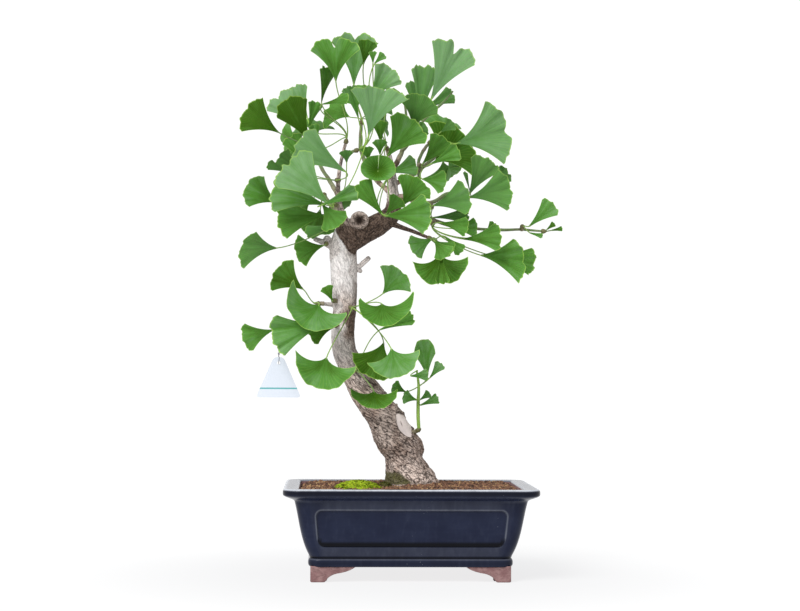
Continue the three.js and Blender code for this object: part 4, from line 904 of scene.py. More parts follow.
def clay_look(colours):
    """Bare reddish clay, dusty in its hollows."""
    look = Look("bare_clay", specular_ior_level=0.3)
    where = look.millimetres()
    dust = look.noise(where, 9, 4)
    sand = look.noise(where, 0.8, 3)
    ridges = look.noise(look.millimetres((0.7, 1, 1.4), (0, 0.6, 0)), 6, 2, 0.5, 1.5)
    colour = look.mix(dust.step(0.3, 0.75), colours.clay, colours.clay_dusty)
    colour = look.mix(sand.step(0.55, 0.75) * 0.5, colour, colours.soil_dark)
    colour = look.mix((1 - ridges.step(0.3, 0.5)) * 0.35, colour, colours.soil_dark)
    return look.finish(colour, 0.82 + sand * 0.15, look.bump(ridges + sand * 0.2, 0.5, 0.0015))


def soil_look(colours):
    """Baked clay granules from red-brown to straw."""
    look = Look("granules", specular_ior_level=0.2)
    where = look.millimetres()
    tone = look.attribute("tone")
    grit = look.noise(where, 0.9, 3)
    damp = look.noise(where, 22, 3)
    colour = look.add("ShaderNodeValToRGB", {"stops": (
        (0.0, colours.soil_dark), (0.35, colours.soil), (0.7, colours.soil_red), (0.93, colours.soil_light),
    )}, {0: tone * 0.85 + grit * 0.15})
    colour = look.mix(damp.step(0.5, 0.75) * 0.4, colour, colours.soil_dark)
    colour = look.mix(grit.step(0.35, 0.75) * 0.35, colour, colours.soil_dark)
    return look.finish(colour, 0.85 + grit * 0.12, look.bump(grit, 0.6, 0.0006))


def moss_look(name, deep, bright):
    """Moss, from its dark depths to its bright tips."""
    look = Look(name, specular_ior_level=0.2, subsurface_weight=0.1, subsurface_scale=0.001)
    where = look.millimetres()
    tone = look.attribute("tone")
    cushions = look.noise(where, 5, 3)
    leaves = look.noise(where, 0.5, 2)
    colour = look.mix((tone * 0.8 + leaves * 0.4).clamp(), deep, bright)
    colour = look.mix((1 - cushions.step(0.35, 0.55)) * 0.5, colour, deep)
    return look.finish(colour, 0.75 + leaves * 0.2, look.bump(leaves, 0.6, 0.0004))


def screen_look(colours):
    """Black moulded mesh, dulled by soil."""
    look = Look("drain_mesh", specular_ior_level=0.4)
    where = look.millimetres()
    dirt = look.noise(where, 3, 4)
    colour = look.mix(dirt.step(0.5, 0.75) * 0.6, colours.plastic, colours.soil)
    return look.finish(colour, 0.45 + dirt * 0.35, look.bump(dirt, 0.2, 0.0003))


def card_look(colours, low, high):
    """White card with a faint fibre, and one plain teal line across it."""
    look = Look("white_card", specular_ior_level=0.35)
    where = look.millimetres()
    height = look.parts(where)[2]
    fibre = look.noise(look.millimetres((1, 1, 0.3)), 0.6, 3)
    mottle = look.noise(where, 7, 2)
    colour = look.mix(fibre.step(0.4, 0.8) * 0.25, colours.card, colours.card_grey)
    colour = look.mix(mottle * 0.15, colour, colours.card_grey)
    line = height.step(low - 0.1, low + 0.1) * (1 - height.step(high - 0.1, high + 0.1))
    colour = look.mix(line * (0.85 + fibre * 0.15), colour, colours.teal)
    return look.finish(colour, 0.42 + fibre * 0.2, look.bump(fibre, 0.15, 0.0002))


def thread_look(colours):
    """Grey twisted thread."""
    look = Look("thread", specular_ior_level=0.3)
    uv = look.parts(look.add("ShaderNodeUVMap", {}, {}))
    twist = (uv[0] * 2 + uv[1] * 60).math("PINGPONG", 0.5) * 2
    colour = look.mix(twist, colours.thread_dark, colours.thread)
    return look.finish(colour, 0.7 + twist * 0.15, look.bump(twist, 0.5, 0.0001))


# ---------------------------------------------------------------- thread and tag

THREAD_R = 0.25

# The loops of thread: half the width of the one round the stalk and of the one through the tag's hole, half
# the distance between a loop's two legs, and how far the knots are below the stalk and above the card
STALK_LOOP = 1.35
HOLE_LOOP = 2.2
LEGS = 0.4
UPPER_KNOT = 5
LOWER_KNOT = 3.5


def eye_of_thread(at, low, high, half, front_first):
    """A loop that leaves a knot at height low, makes a half turn of a given half width at height high, and
    comes back."""
    side = -1 if front_first else 1
    down = high < low
    rise = np.linspace(0, 1, 9)
    leg_z = low + (high - low) * rise
    leg_y = half * smooth_step(rise, 0, 1)
    turn = np.linspace(0, math.pi, 11)[1:-1]
    arc_z = high + (-1 if down else 1) * half * np.sin(turn)
    arc_y = half * np.cos(turn)
    y = np.concatenate([leg_y, arc_y, -leg_y[::-1]]) * side
    z = np.concatenate([leg_z, arc_z, leg_z[::-1]])
    x = np.linspace(LEGS, -LEGS, len(y))
    return np.stack([at[0] + x, at[1] + y, z], 1)


def thread_path():
    """The thread's line: round the leaf's stalk, down, and through the hole of the tag; and its knots."""
    low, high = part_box("tag_thread")
    middle = (low + high) / 2
    at = (np.array(middle - POT_AT) * 1000)[:2]
    stalk = high.z * 1000 + STALK_W / 2 + 2 * GAP
    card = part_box("hang_tag")[1].z * 1000
    upper = stalk - UPPER_KNOT
    lower = card + LOWER_KNOT
    hole = card - TAG_HOLE_DOWN - TAG_HOLE_R + THREAD_R + HOLE_LOOP + 0.1
    top = eye_of_thread(at, upper, stalk, STALK_LOOP, False)
    drop = np.linspace(upper, lower, 14)[1:-1]
    line = np.stack([np.full(len(drop), at[0] - LEGS), np.full(len(drop), at[1]), drop], 1)
    line[:, 0] += 2 * LEGS * smooth_step(drop, upper, lower)
    bottom = eye_of_thread(at, lower, hole, HOLE_LOOP, True)
    return np.vstack([top, line, bottom]), at, upper, lower


def knot_mesh(bm, x, y, z):
    """A small overhand knot: a few turns of thread round the strands."""
    turn = np.linspace(0, 5 * math.pi, 36)
    rise = 0.12 * (turn - 2.5 * math.pi)
    coil = np.stack([x + 0.75 * np.cos(turn), y + 0.6 * np.sin(turn), z + rise], 1)
    tube(bm, coil, np.full(len(coil), 0.3), 8, first=(0, 0, 1), tip=0.5)


# ---------------------------------------------------------------- pot


def leaning_wall():
    """The wall, as rows like those of POT_BASE, closer together at the panel's upper and lower edges."""
    heights = (28, 39, 52, 70, 82)
    insets = (26, 21.5, 17.9, 14.4, 11.7)
    bend = np.polyfit(heights, insets, 3)
    levels = (27, 29, 31.5, 34, 35.2, 35.8, 36.3, 36.8, 37.4, 38.2, 39.6, 42, 46, 51, 56, 61, 65, 68, 69.8,
              71.2, 72, 72.6, 73.1, 73.6, 74.2, 75.2, 77, 79, 80.6)
    return [(z, float(np.polyval(bend, z)), 12 + (z - 28) * 0.074, 0) for z in levels]


# Height, inset from the rim's edge, corner radius and how thin the glaze runs, which also paints a
# highlight (below 0: how deeply it is pooled, which also paints shade), from under the pot up
POT_BASE = (
    (15.4, 60, 3, 0), (15.4, 30, 10, 0), (15.4, 28.2, 11.5, 0), (15.7, 27.2, 12, 0),
    (16.6, 26.3, 12.6, 0), (18, 25.8, 13, -0.3), (20, 25.7, 13, -0.4), (21.8, 25.9, 13, -0.2),
    (23.2, 26.5, 12.6, 0.3), (24, 27.2, 12.1, -0.8), (24.5, 27.5, 12, -1), (25.2, 27.1, 12, -0.9),
)

# The same over the rim and down to the inside floor
POT_RIM = (
    (82, 11.75, 16, 0.1), (83.2, 10.9, 16.3, 0.05), (84.3, 9, 16.9, 0), (85.5, 6, 17.5, 0),
    (86.8, 3, 18.2, 0.1), (87.8, 1.2, 18.7, 0.1), (88.8, 0.25, 19, -0.3), (90, 0.02, 19, -0.7),
    (91.6, 0, 19, -0.8), (93, 0.15, 18.9, -0.6), (94, 0.7, 18.5, 1.5), (94.7, 1.5, 18, 4),
    (95, 2.6, 17.3, 2.2), (95, 5, 15.5, 0.8), (94.9, 9, 12, 0.6), (94.9, 12.5, 9, 0.8),
    (94.7, 14.4, 7, 1.6), (94.1, 15.5, 5.7, 1.2), (93.2, 16, 5, 0.4), (90, 16.8, 5.4, 0),
    (80, 20, 7, 0), (50, 25.6, 7.5, 0), (26, 30, 8, 0), (24.4, 30.4, 8, 0), (24, 31, 8, 0), (24, 60, 3, 0),
)


def panel_depth(z, away, half_top, half_low):
    """The recess at a height and a distance along the wall, the painted highlight along its upper and side
    edges, and the painted shade, standing also for pooled glaze, along its lower edge.
    """
    share = (z - PANEL_LOW) / (PANEL_TOP - PANEL_LOW)
    half = half_low + (half_top - half_low) * share
    out_x = np.abs(away) - (half - PANEL_CORNER)
    out_z = np.abs(z - (PANEL_LOW + PANEL_TOP) / 2) - ((PANEL_TOP - PANEL_LOW) / 2 - PANEL_CORNER)
    outside = np.hypot(np.maximum(out_x, 0), np.maximum(out_z, 0))
    inside = np.minimum(np.maximum(out_x, out_z), 0)
    distance = outside + inside - PANEL_CORNER
    depth = PANEL_DEEP * smooth_step(-distance, -0.75, 0.75)
    # Painted highlight on the recess's upper and side edges
    lip_highlight = hill(distance, 0.9, 0.8)
    low = 1 - smooth_step(z, PANEL_LOW + 4, PANEL_LOW + 9)
    # Painted shade along the recess's lower edge, standing also for glaze pooled there
    pool = smooth_step(distance, -4.2, -3) * (1 - smooth_step(distance, 0, 0.9)) * low
    return depth, lip_highlight * (1 - low) * 0.5, pool


def side_stops(half, z, half_top, half_low):
    """Where the columns of one side stand, closer together along the panel's two upright edges."""
    share = np.clip((z - PANEL_LOW) / (PANEL_TOP - PANEL_LOW), -0.3, 1.4)
    edge = half_low + (half_top - half_low) * share
    edge = min(edge, half - 1.6)
    steps = np.array((1.4, 0.8, 0.35, -0.05, -0.45, -0.9, -1.6, -2.6, -4, -6, -9))
    right = edge + steps * min(1, (half - edge) / 2)
    outer = np.linspace(half, right[0], 4)[:-1]
    inner = np.linspace(right[-1], 0, 9)[1:]
    stops = np.concatenate([outer, right, inner])
    return np.concatenate([stops, -stops[-2::-1]])[::-1]


def pot_ring(z, inset, corner):
    """The outline of the pot at one level, before its panels are sunk."""
    half_x = RIM_LONG / 2 - inset
    half_y = RIM_DEEP / 2 - inset
    arc = np.linspace(0, math.pi / 2, 11)[1:-1]
    ring = []
    for quarter in range(4):
        along, off, panel = (half_x, half_y, LONG_PANEL) if quarter % 2 else (half_y, half_x, SHORT_PANEL)
        stops = side_stops(along - corner, z, *panel)
        points = np.stack([np.full(len(stops), off), stops], 1)
        bend = np.stack([off - corner + corner * np.cos(arc), along - corner + corner * np.sin(arc)], 1)
        ring.append(np.vstack([points, bend]) @ quarter_turn(quarter))
    return np.vstack(ring)


def pot_body():
    """The glazed body: one skin wrapped round the pot's outline, from under it to its inside floor."""
    walls = leaning_wall()
    profile = [*POT_BASE, *walls, *POT_RIM]
    rings = np.array([np.insert(pot_ring(*row[:3]), 2, row[0], axis=1) for row in profile])
    # Above 0: pale glaze over an edge together with a painted highlight; below 0: pooled glaze together
    # with painted shade
    thin = np.repeat([[row[3]] for row in profile], rings.shape[1], axis=1)
    pooled_shades = np.maximum(-thin, 0)
    edges = np.maximum(thin, 0)
    wall = slice(len(POT_BASE), len(POT_BASE) + len(walls))
    insets = np.array([row[1] for row in walls])[:, None]
    points = rings[wall]
    for axis, other, wide, panel in ((1, 0, RIM_DEEP, LONG_PANEL), (0, 1, RIM_LONG, SHORT_PANEL)):
        facing = np.abs(np.abs(points[..., axis]) - (wide / 2 - insets)) < 1e-3
        depth, lip_highlight, pool = panel_depth(points[..., 2], points[..., other], *panel)
        points[..., axis] -= np.sign(points[..., axis]) * depth * facing
        # A faint painted sheen on the flat wall round each panel, fading into the recess
        across = np.clip((panel[1] - np.abs(points[..., other])) / 6, 0, 1)
        border_sheen = (0.03 + 0.08 * across) * (1 - depth / PANEL_DEEP)
        edges[wall] = np.maximum(edges[wall], np.maximum(lip_highlight, border_sheen) * facing)
        pooled_shades[wall] = np.maximum(pooled_shades[wall], pool * facing)
    centre = np.zeros((1, rings.shape[1], 3))
    rings = np.concatenate([centre + (0, 0, UNDERSIDE), rings, centre + (0, 0, FLOOR_TOP)])
    bm = bmesh.new()
    layers = [bm.verts.layers.float.new(name) for name in ("edge", "pool")]
    verts = wrapped(bm, rings)
    for layer, values in zip(layers, (edges, pooled_shades)):
        values = np.pad(values, ((1, 1), (0, 0)))
        values = np.column_stack([values, values[:, 0]])
        for vert, value in zip(verts, values.ravel()):
            vert[layer] = value
    bmesh.ops.remove_doubles(bm, verts=bm.verts, dist=0.001)
    bm.normal_update()
    for face in bm.faces:
        middle = face.calc_center_median()
        bare = middle.z < UNDERSIDE + 0.15 or (middle.z < 92 and inside_pot(middle, face.normal))
        face.material_index = int(bare)
    return bm


def inside_pot(point, normal):
    """Whether a face is on the pot's inner side, where it looks at the middle or up from the floor."""
    inset = min(RIM_LONG / 2 - abs(point.x), RIM_DEEP / 2 - abs(point.y))
    inward = normal.x * point.x + normal.y * point.y < 0 or normal.z > 0.95
    return inward and inset > float(np.interp(point.z, (24, 82, 95), (29, 18.5, 15)))


def foot_reach():
    """Heights up a foot, and at each how far its arms reach and how far it is drawn in all round."""
    t = np.linspace(0, 1, 12)
    lower = np.stack([FOOT_FLAT + 6 * t * (1 - t) + 13 * t * t, 14 * t * (1 - t) + 9 * t * t], 1)
    upper = np.stack([
        (FOOT_FLAT + 13) * (1 - t) ** 2 + 2 * (FOOT_FLAT + 25) * t * (1 - t) + FOOT_LONG * t * t,
        9 * (1 - t) ** 2 + 21 * t * (1 - t) + (FEET_HIGH + 1.4) * t * t], 1)
    curve = np.vstack([lower, upper[1:]])
    heights = np.array((0, 0, 0.4, 1.1, 2.5, 4, 5.5, 7, 8, 8.8, 9.6, 10.8, 12.2, 13.6, 15, 16.4))
    insets = np.pad((1.6, 1.0, 0.35), (0, len(heights) - 3))
    return heights, np.interp(heights, curve[:, 1], curve[:, 0]), insets


def foot_mesh(sign_x, sign_y, quarter):
    """A bracket foot of two arms, swept up to the pot and softened at its corners."""
    rings = []
    t = FOOT_THICK
    for z, reach, inset in zip(*foot_reach()):
        outline = np.array([(0, 0), (reach, 0), (reach, t), (t, t), (t, reach), (0, reach)], float)
        outline += np.array([(1, 1), (-1, 1), (-1, -1), (-1, -1), (-1, -1), (1, -1)]) * inset
        rounded = []
        for k in range(6):
            before, corner, after = outline[k - 1], outline[k], outline[(k + 1) % 6]
            soft = 1.6 if k != 3 else 0.6
            a = corner + unit(before - corner) * min(soft, np.linalg.norm(before - corner) / 2.2)
            b = corner + unit(after - corner) * min(soft, np.linalg.norm(after - corner) / 2.2)
            rounded += [a, (a + 2 * corner + b) / 4, b, (b + after) / 2]
        rounded = np.array(rounded) @ quarter_turn(quarter)
        rounded += (sign_x * (RIM_LONG / 2 - FOOT_INSET), sign_y * (RIM_DEEP / 2 - FOOT_INSET))
        rings.append(np.column_stack([rounded, np.full(len(rounded), z)]))
    bm = bmesh.new()
    wrapped(bm, np.array(rings))
    bmesh.ops.remove_doubles(bm, verts=bm.verts, dist=0.001)
    capped(bm)
    for face in bm.faces:
        face.material_index = 1
    return mesh_from(bm, "foot")


# ---------------------------------------------------------------- soil and moss

# Half the length and width of the bed of granules, how far apart they lie, and the corners of one
SOIL_HALF = (113.6, 78.6)
PITCH = 2.42
GRANULE_CORNERS = 12


def soil_height(x, y):
    rise = 4 * np.exp(-(((x - ROOT_X) / 60) ** 2) - (y / 45) ** 2)
    flat = 0
    for at, size in CUSHIONS:
        away = np.hypot((x - at[0]) / (size[0] + MOSS_SEAT), (y - at[1]) / (size[1] + MOSS_SEAT))
        flat = np.maximum(flat, 1 - smooth_step(away, 0.8, 1.1))
    to_wall = np.minimum(RIM_LONG / 2 - np.abs(x), RIM_DEEP / 2 - np.abs(y)) - RIM_WIDE
    dip = SOIL_DIP * (1 - smooth_step(to_wall, 0, 12))
    return SOIL_TOP + (rise - dip) * (1 - flat)


def random_turn(rng):
    return Euler([rng.uniform(0, 2 * math.pi) for _ in range(3)]).to_matrix().to_4x4()


def granule_places(rng):
    """Places for granules over the soil, clear of the trunk, the moss and the pot's wall."""
    half_x, half_y = SOIL_HALF
    places = []
    for i in np.arange(-half_x, half_x, PITCH):
        for j in np.arange(-half_y, half_y, PITCH):
            x, y = i + rng.uniform(0, PITCH), j + rng.uniform(0, PITCH)
            size = rng.choice((0.9, 1.1, 1.3, 1.5, 1.7, 2.0))
            if abs(x) > half_x - size or abs(y) > half_y - size:
                continue
            if math.hypot(x - ROOT_X, y) < ROOT_R - 2:
                continue
            if any(math.hypot((x - at[0]) / s[0], (y - at[1]) / s[1]) < 0.86 for at, s in CUSHIONS):
                continue
            places.append((x, y, size))
    return places


def granules():
    rng = random.Random(5)
    places = granule_places(rng)
    bm = bmesh.new()
    for _ in range(5):
        bmesh.ops.create_icosphere(bm, subdivisions=1, radius=1)
    repeated(bm, 1024)
    rng.shuffle(places)
    places = places[:len(bm.verts) // GRANULE_CORNERS]
    bmesh.ops.delete(bm, geom=bm.verts[GRANULE_CORNERS * len(places):], context="VERTS")
    matrices = []
    for x, y, size in places:
        lift = float(soil_height(x, y)) + size * rng.uniform(-0.25, 0.55)
        stretch = Matrix.Diagonal((size * rng.uniform(0.8, 1.25), size * rng.uniform(0.8, 1.2),
                                   size * rng.uniform(0.65, 1), 1))
        matrices.append(Matrix.Translation((x, y, lift)) @ random_turn(rng) @ stretch)
    mesh = scattered(bm, len(places), matrices)
    mark(mesh, "tone", np.repeat([rng.random() for _ in places], GRANULE_CORNERS))
    return mesh


def moss_dome(at, size, seed, peak):
    """A mound's lumpy skin, as fine as its tufts need; peak is how steeply its middle rises."""
    bm = bmesh.new()
    phase = 6 * next(seeded(seed))

    def shape(u, v):
        turn = 2 * np.pi * u
        tilt = v * np.pi / 2
        bump = 1 + 0.09 * np.sin(3 * turn + phase) + 0.07 * np.sin(5 * turn + 9 * tilt)
        r = np.cos(tilt) * bump
        points = np.stack([at[0] + size[0] * r * np.cos(turn), at[1] + size[1] * r * np.sin(turn),
                           SOIL_TOP + GAP + size[2] * 0.9 * peak * np.sin(tilt) ** peak], 1)
        for point in points:
            point[2] += 0.7 * noise.noise(Vector(point / 3.2)) * min(1, 3 * (point[2] - SOIL_TOP) / size[2])
        return points

    shaped_grid(bm, 72, 20, shape)
    bmesh.ops.remove_doubles(bm, verts=bm.verts, dist=0.02)
    capped(bm)
    return mesh_from(bm, "dome")


def moss_mesh(at, size, seed, count, peak=1.0):
    """A mound of moss: a lumpy dome under many short pointed tufts."""
    rng = random.Random(seed)
    dome = moss_dome(at, size, seed, peak)
    mark(dome, "tone", np.full(len(dome.vertices), 0.25))
    skin, normals = points_of(dome), normals_of(dome)
    tops = [k for k in range(len(skin)) if skin[k][2] > SOIL_TOP + 0.8]
    bm = bmesh.new()
    for _ in range(3):
        bmesh.ops.create_cone(bm, cap_ends=True, segments=3, radius1=0.34, radius2=0.02, depth=1)
    corners = len(bm.verts) // 3
    repeated(bm, count)
    matrices = []
    for _ in range(3 * count):
        k = rng.choice(tops)
        root = Vector(skin[k]) + Vector([rng.uniform(-0.5, 0.5) for _ in range(3)])
        lean = (Vector(normals[k]) + Vector([rng.uniform(-0.6, 0.6) for _ in range(3)])).normalized()
        turn = lean.to_track_quat("Z", "Y").to_matrix().to_4x4()
        tall = rng.uniform(0.7, 1.5)
        matrices.append(Matrix.Translation(root) @ turn @ Matrix.Diagonal((1, 1, tall, 1)))
    tufts = scattered(bm, 3 * count, matrices)
    mark(tufts, "tone", np.repeat([rng.uniform(0.35, 1) for _ in range(3 * count)], corners))
    bm = bmesh.new()
    bm.from_mesh(dome)
    bm.from_mesh(tufts)
    return mesh_from(bm, "moss")


# ---------------------------------------------------------------- wood

# Scars that face the viewer, as [x, z, radius, how far its ring stands out, how deep its middle is]. Those
# deeper than HOLLOW have a dark middle
KNOTS = (
    (-53.4, 372, 7.6, 1.5, 5),
    (-16.9, 179.1, 3.4, 1.0, 0.8),
    (-79.3, 267, 3.2, 0.9, 0.4),
    (-46.5, 351, 3.0, 0.8, 1.2),
)
HOLLOW = 2

# The long pruning scar: the middle of it in the front view, its half length and half width
SCAR_X, SCAR_Z = -4.8, 157
SCAR_LONG = 15.5
SCAR_WIDE = 7.6

# How wide and tall a plate of bark is, and how far the grain turns for each millimetre up the limb
BARK_WIDE = 3.0
BARK_TALL = 10.5
TWIST = 0.022

# Noise vectors differ from run to run unless they have a seed
BARK_SEED = 3

# The size of a face of the wood
WOOD_GRAIN = 0.84


def flutes(turn, t):
    """Broad swellings that start above the soil and run out up the trunk."""
    fade = smooth_step(t, 0.09, 0.16) * np.maximum(0, 1 - 1.5 * t)
    wave = 0.05 * np.sin(5 * turn + 7 * t) + 0.035 * np.sin(9 * turn - 11 * t)
    return 1 + fade * (wave + 0.02 * np.sin(3 * turn + 40 * t))


def limb(bm, stations, sides, steps, tip=0.6, skin=None, level=0):
    points, radii = limb_path(stations, steps)
    tube(bm, points, radii, sides, skin=skin, tip=tip, level=level)


def limb_field():
    """Samples down the middle of every stout limb: place, direction, axes, length so far and radius."""
    rows = []
    for key, stations in [("trunk", TRUNK), *((name, BOUGHS[name]) for name in STOUT)]:
        points, radii = limb_path(stations, 16 * (len(stations) - 1))
        frames = frames_along(points, (0.1, 1, 0.2), TRUNK_LEVEL if key == "trunk" else 0)
        run = np.concatenate([[0], np.cumsum(np.linalg.norm(np.diff(points, axis=0), axis=1))])
        for k in range(len(points)):
            rows.append((points[k], frames[k], run[k] + 97 * len(key), radii[k], key))
    return rows


def bark_numbers(points):
    """For each point: how deep its crack is, how far it stands out, its limb's radius, its place in the
    grain, and its limb."""
    noise.seed_set(BARK_SEED)
    field = limb_field()
    tree = kdtree.KDTree(len(field))
    for k, row in enumerate(field):
        tree.insert(row[0], k)
    tree.balance()
    count = len(points)
    crack, lump, radius = np.zeros(count), np.zeros(count), np.zeros(count)
    grain = np.zeros((count, 3))
    keys = []
    for i, point in enumerate(points):
        centre, axes, run, r, key = field[tree.find(point)[1]]
        off = point - centre
        twist = TWIST * run
        a, b = off @ axes[1], off @ axes[2]
        a, b = a * math.cos(twist) - b * math.sin(twist), a * math.sin(twist) + b * math.cos(twist)
        run = run + off @ axes[0]
        low = float(np.clip((200 - point[2]) / 60, 0, 1)) if key == "trunk" else 0
        wide = BARK_WIDE + 0.9 * low
        tall = BARK_TALL - 2.5 * low
        at = Vector((a / wide, b / wide, run / tall))
        grain[i] = at
        at += 0.45 * noise.noise_vector(at * 0.6)
        first = math.exp(-(noise.noise(at) / 0.10) ** 2)
        second = math.exp(-(noise.noise(at * 2.1 + Vector((7, 3, 1))) / 0.14) ** 2)
        crack[i] = max(first, 0.35 * second)
        lump[i] = noise.noise(Vector((a / 9, b / 9, run / 14)))
        radius[i] = r
        keys.append(key)
    return crack, lump, radius, grain, np.array(keys)


def wood_mesh():
    """Trunk, boughs, stubs and knots grown together, with cracked bark and the marks its colours follow."""
    bm = bmesh.new()
    limb(bm, TRUNK, 60, 150, skin=flutes, level=TRUNK_LEVEL)
    for name in STOUT:
        limb(bm, BOUGHS[name], 24, 8 * (len(BOUGHS[name]) - 1))
    for at, r in KNOBS:
        made = bmesh.ops.create_icosphere(bm, subdivisions=3, radius=r * 0.96)
        bmesh.ops.translate(bm, verts=made["verts"], vec=place(*at))
    rough = linked("rough_wood", mesh_from(bm, "rough_wood", 0.0005))
    grow = rough.modifiers.new("grown_together", "REMESH")
    grow.mode = "VOXEL"
    grow.voxel_size = WOOD_GRAIN
    soften = rough.modifiers.new("soften", "SMOOTH")
    soften.factor = 0.5
    soften.iterations = 4
    mesh = settled(rough)
    bpy.data.objects.remove(rough)
    carve_bark(mesh)
    return mesh


def scar_marks(seen_x, seen_z):
    """How far inside the pruning scar each point is, on its raised rim, and in the cuts round and in it."""
    right, up = seen_x - SCAR_X, seen_z - SCAR_Z
    long = (0.5 * right - 0.866 * up) / SCAR_LONG
    wide = (0.866 * right + 0.5 * up) / SCAR_WIDE
    away = np.hypot(wide, 0.25 * long) + 0.75 * long ** 2
    tick = hill(seen_x + 0.3 * (seen_z - 159), -7.4, 0.6) * hill(seen_z, 159, 2.6)
    cuts = np.maximum(hill(away, 0.96, 0.08), tick)
    return 1 - smooth_step(away, 0.75, 1.0), hill(away, 1.1, 0.13), cuts


def bark_tones(points, seen_x, seen_z, lump, radius, grain, keys):
    """For each point: how far it is to the right in the trunk, how pale its bark is, and how dark from
    brown wood and painted shade.
    """
    x, _, z = points.T
    trunk = keys == "trunk"
    bough = ~trunk & ~np.isin(keys, DEAD)
    middle = np.interp(z, *zip(*[(station[1], station[0]) for station in TRUNK]))
    side = np.where(trunk, (x - middle) / np.maximum(radius, 1), 0)
    # Up the trunk: two browner bands, and a shaded side between them
    band = hill(z, 282, 13) * 0.75 + hill(z, 240, 8) * 0.25
    shaded = hill(z, 263, 20, 4) * smooth_step(side + 0.5 * lump, -0.4, 0.35)
    # Past the fork: brown wood, older and paler up the right bough, young at the middle of the leader
    aged = (keys == "right") * smooth_step(z, 382, 398)
    slim = BARK_WIDE * np.hypot(grain[:, 0], grain[:, 1]) < 1.4 * radius
    young = (keys == "leader") * slim * smooth_step(z + 4 * lump, 360, 374)
    fork = smooth_step(seen_x + 0.45 * (352 - seen_z) + 9 * lump, -68, -50) * smooth_step(z, 322, 352)
    fork = fork * (1 - young) * (1 - aged)
    # Painted shade down the trunk's right side, away from the light, from 160 mm up
    right_shade = smooth_step(side + 0.25 * lump, 0.25, 0.95) * 0.6 * smooth_step(z, 160, 230)
    brown = np.where(bough, (0.85 - 0.7 * aged) * (1 - 0.65 * young), 0)
    # Together: how dark, from brown wood and painted shade, and how pale where it isn't
    dark = np.maximum.reduce([right_shade, 0.85 * shaded, fork, brown])
    pale = smooth_step(z, 185, 262) * (1 - band) * (1 - 0.7 * shaded)
    pale = np.where(bough, 0.15 + 0.35 * aged, np.where(trunk, pale, 0.75)) * (1 - fork)
    return side, pale, dark


def carve_bark(mesh):
    """Cuts the cracks, the scar and the knots into the wood, and marks it for its colours."""
    points, normals = points_of(mesh), normals_of(mesh)
    crack, lump, radius, grain, keys = bark_numbers(points)
    x, y, z = points.T
    seen_x = EYE[0] + (x - EYE[0]) * (-EYE[1]) / (y - EYE[1])
    seen_z = EYE[2] + (z - EYE[2]) * (-EYE[1]) / (y - EYE[1])
    facing = normals[:, 1] < -0.1
    above = smooth_step(z, 94, 100)
    trunk = keys == "trunk"
    low = trunk * (1 - smooth_step(z, 170, 235))
    depth = np.where(trunk, 0.5 + 1.2 * low, np.clip(0.09 * radius, 0.15, 0.8)) * (0.3 + 0.7 * above)
    swell = np.where(trunk, 0.55 + 1.6 * low, 0.05 * radius)
    out = swell * lump - depth * crack
    scar, rim, cuts = [values * facing for values in scar_marks(seen_x, seen_z)]
    out = out * (1 - 0.9 * scar) - 0.9 * scar + 1.1 * rim
    crack = np.maximum(crack * (1 - scar), 0.9 * cuts)
    hollow, healed = np.zeros(len(points)), np.zeros(len(points))
    for knot_x, knot_z, size, stands, deep in KNOTS:
        away = np.hypot(seen_x - knot_x, seen_z - knot_z) / size
        ring = hill(away, 1, 0.28) * facing
        pit = hill(away, 0, 0.72, 8) * facing
        out += stands * ring - deep * pit
        crack = crack * (1 - 0.5 * ring)
        if deep > HOLLOW:
            rings = pit * (0.9 + 0.1 * np.cos(14 * away))
            crack = np.maximum(crack, rings)
            hollow = np.maximum(hollow, rings)
            healed = np.maximum(healed, ring)
    points += normals * out[:, None]
    mesh.vertices.foreach_set("co", points.ravel())
    mesh.update()
    side, pale, dark = bark_tones(points, seen_x, seen_z, lump, radius, grain, keys)
    base = (1 - smooth_step(z, 99, 118)) * above
    foot = (1 - smooth_step(z, 95, 105)) * above
    left = smooth_step(-side, -0.1, 0.6) * base * (y < 12)
    mark(mesh, "crack", crack * np.where(trunk & (z > 215), 0.75, 1))
    mark(mesh, "pale", np.clip(pale, 0, 1))
    mark(mesh, "dark", np.clip(dark * (1 - 0.7 * healed), 0, 1))
    mark(mesh, "hollow", hollow)
    mark(mesh, "green", np.clip(left + foot * 0.6, 0, 1))
    mark(mesh, "scar", scar * (1 - cuts))
    mesh.attributes.new("grain", "FLOAT_VECTOR", "POINT").data.foreach_set("vector", grain.ravel())


TWIG_SIDES = 12


def knuckles(turn, t):
    """Ringed swellings down a short spur."""
    return 1 + 0.12 * np.sin(t * 22) + 0.05 * np.sin(3 * turn + 9 * t)


def twig_skin(turn, t):
    """Faint rings and a wandering ridge down a twig."""
    return 1 + 0.08 * np.sin(t * 37 + np.sin(turn)) + 0.06 * np.sin(2 * turn + 15 * t)


def twig_mesh():
    """The thin twigs, and the woody spurs that sprays stand on."""
    bm = bmesh.new()
    age = bm.verts.layers.float.new("age")
    for name, stations in BOUGHS.items():
        if name not in STOUT:
            points, radii = limb_path(stations, 9 * (len(stations) - 1))
            verts = tube(bm, points, radii, TWIG_SIDES, skin=twig_skin, tip=0.8)
            for k, vert in enumerate(verts):
                ring = min(max(k // (TWIG_SIDES + 1) - 1, 0), len(radii) - 1)
                vert[age] = smooth_step(radii[ring], 1.9, 3.0)
    for spray in SPRAYS:
        if "at" in spray:
            ends = np.array([place(*spray["from"]), place(*spray["at"])])
            steps = np.linspace(0, 1, 9)[:, None]
            points = ends[0] + (ends[1] - ends[0]) * steps
            radii = np.linspace(2.4, 2.2, 9)
            for vert in tube(bm, points, radii, TWIG_SIDES, first=(0.3, 0.8, 0.5), skin=knuckles, tip=0.5):
                vert[age] = 0.6
    return mesh_from(bm, "twigs", 0.0005)


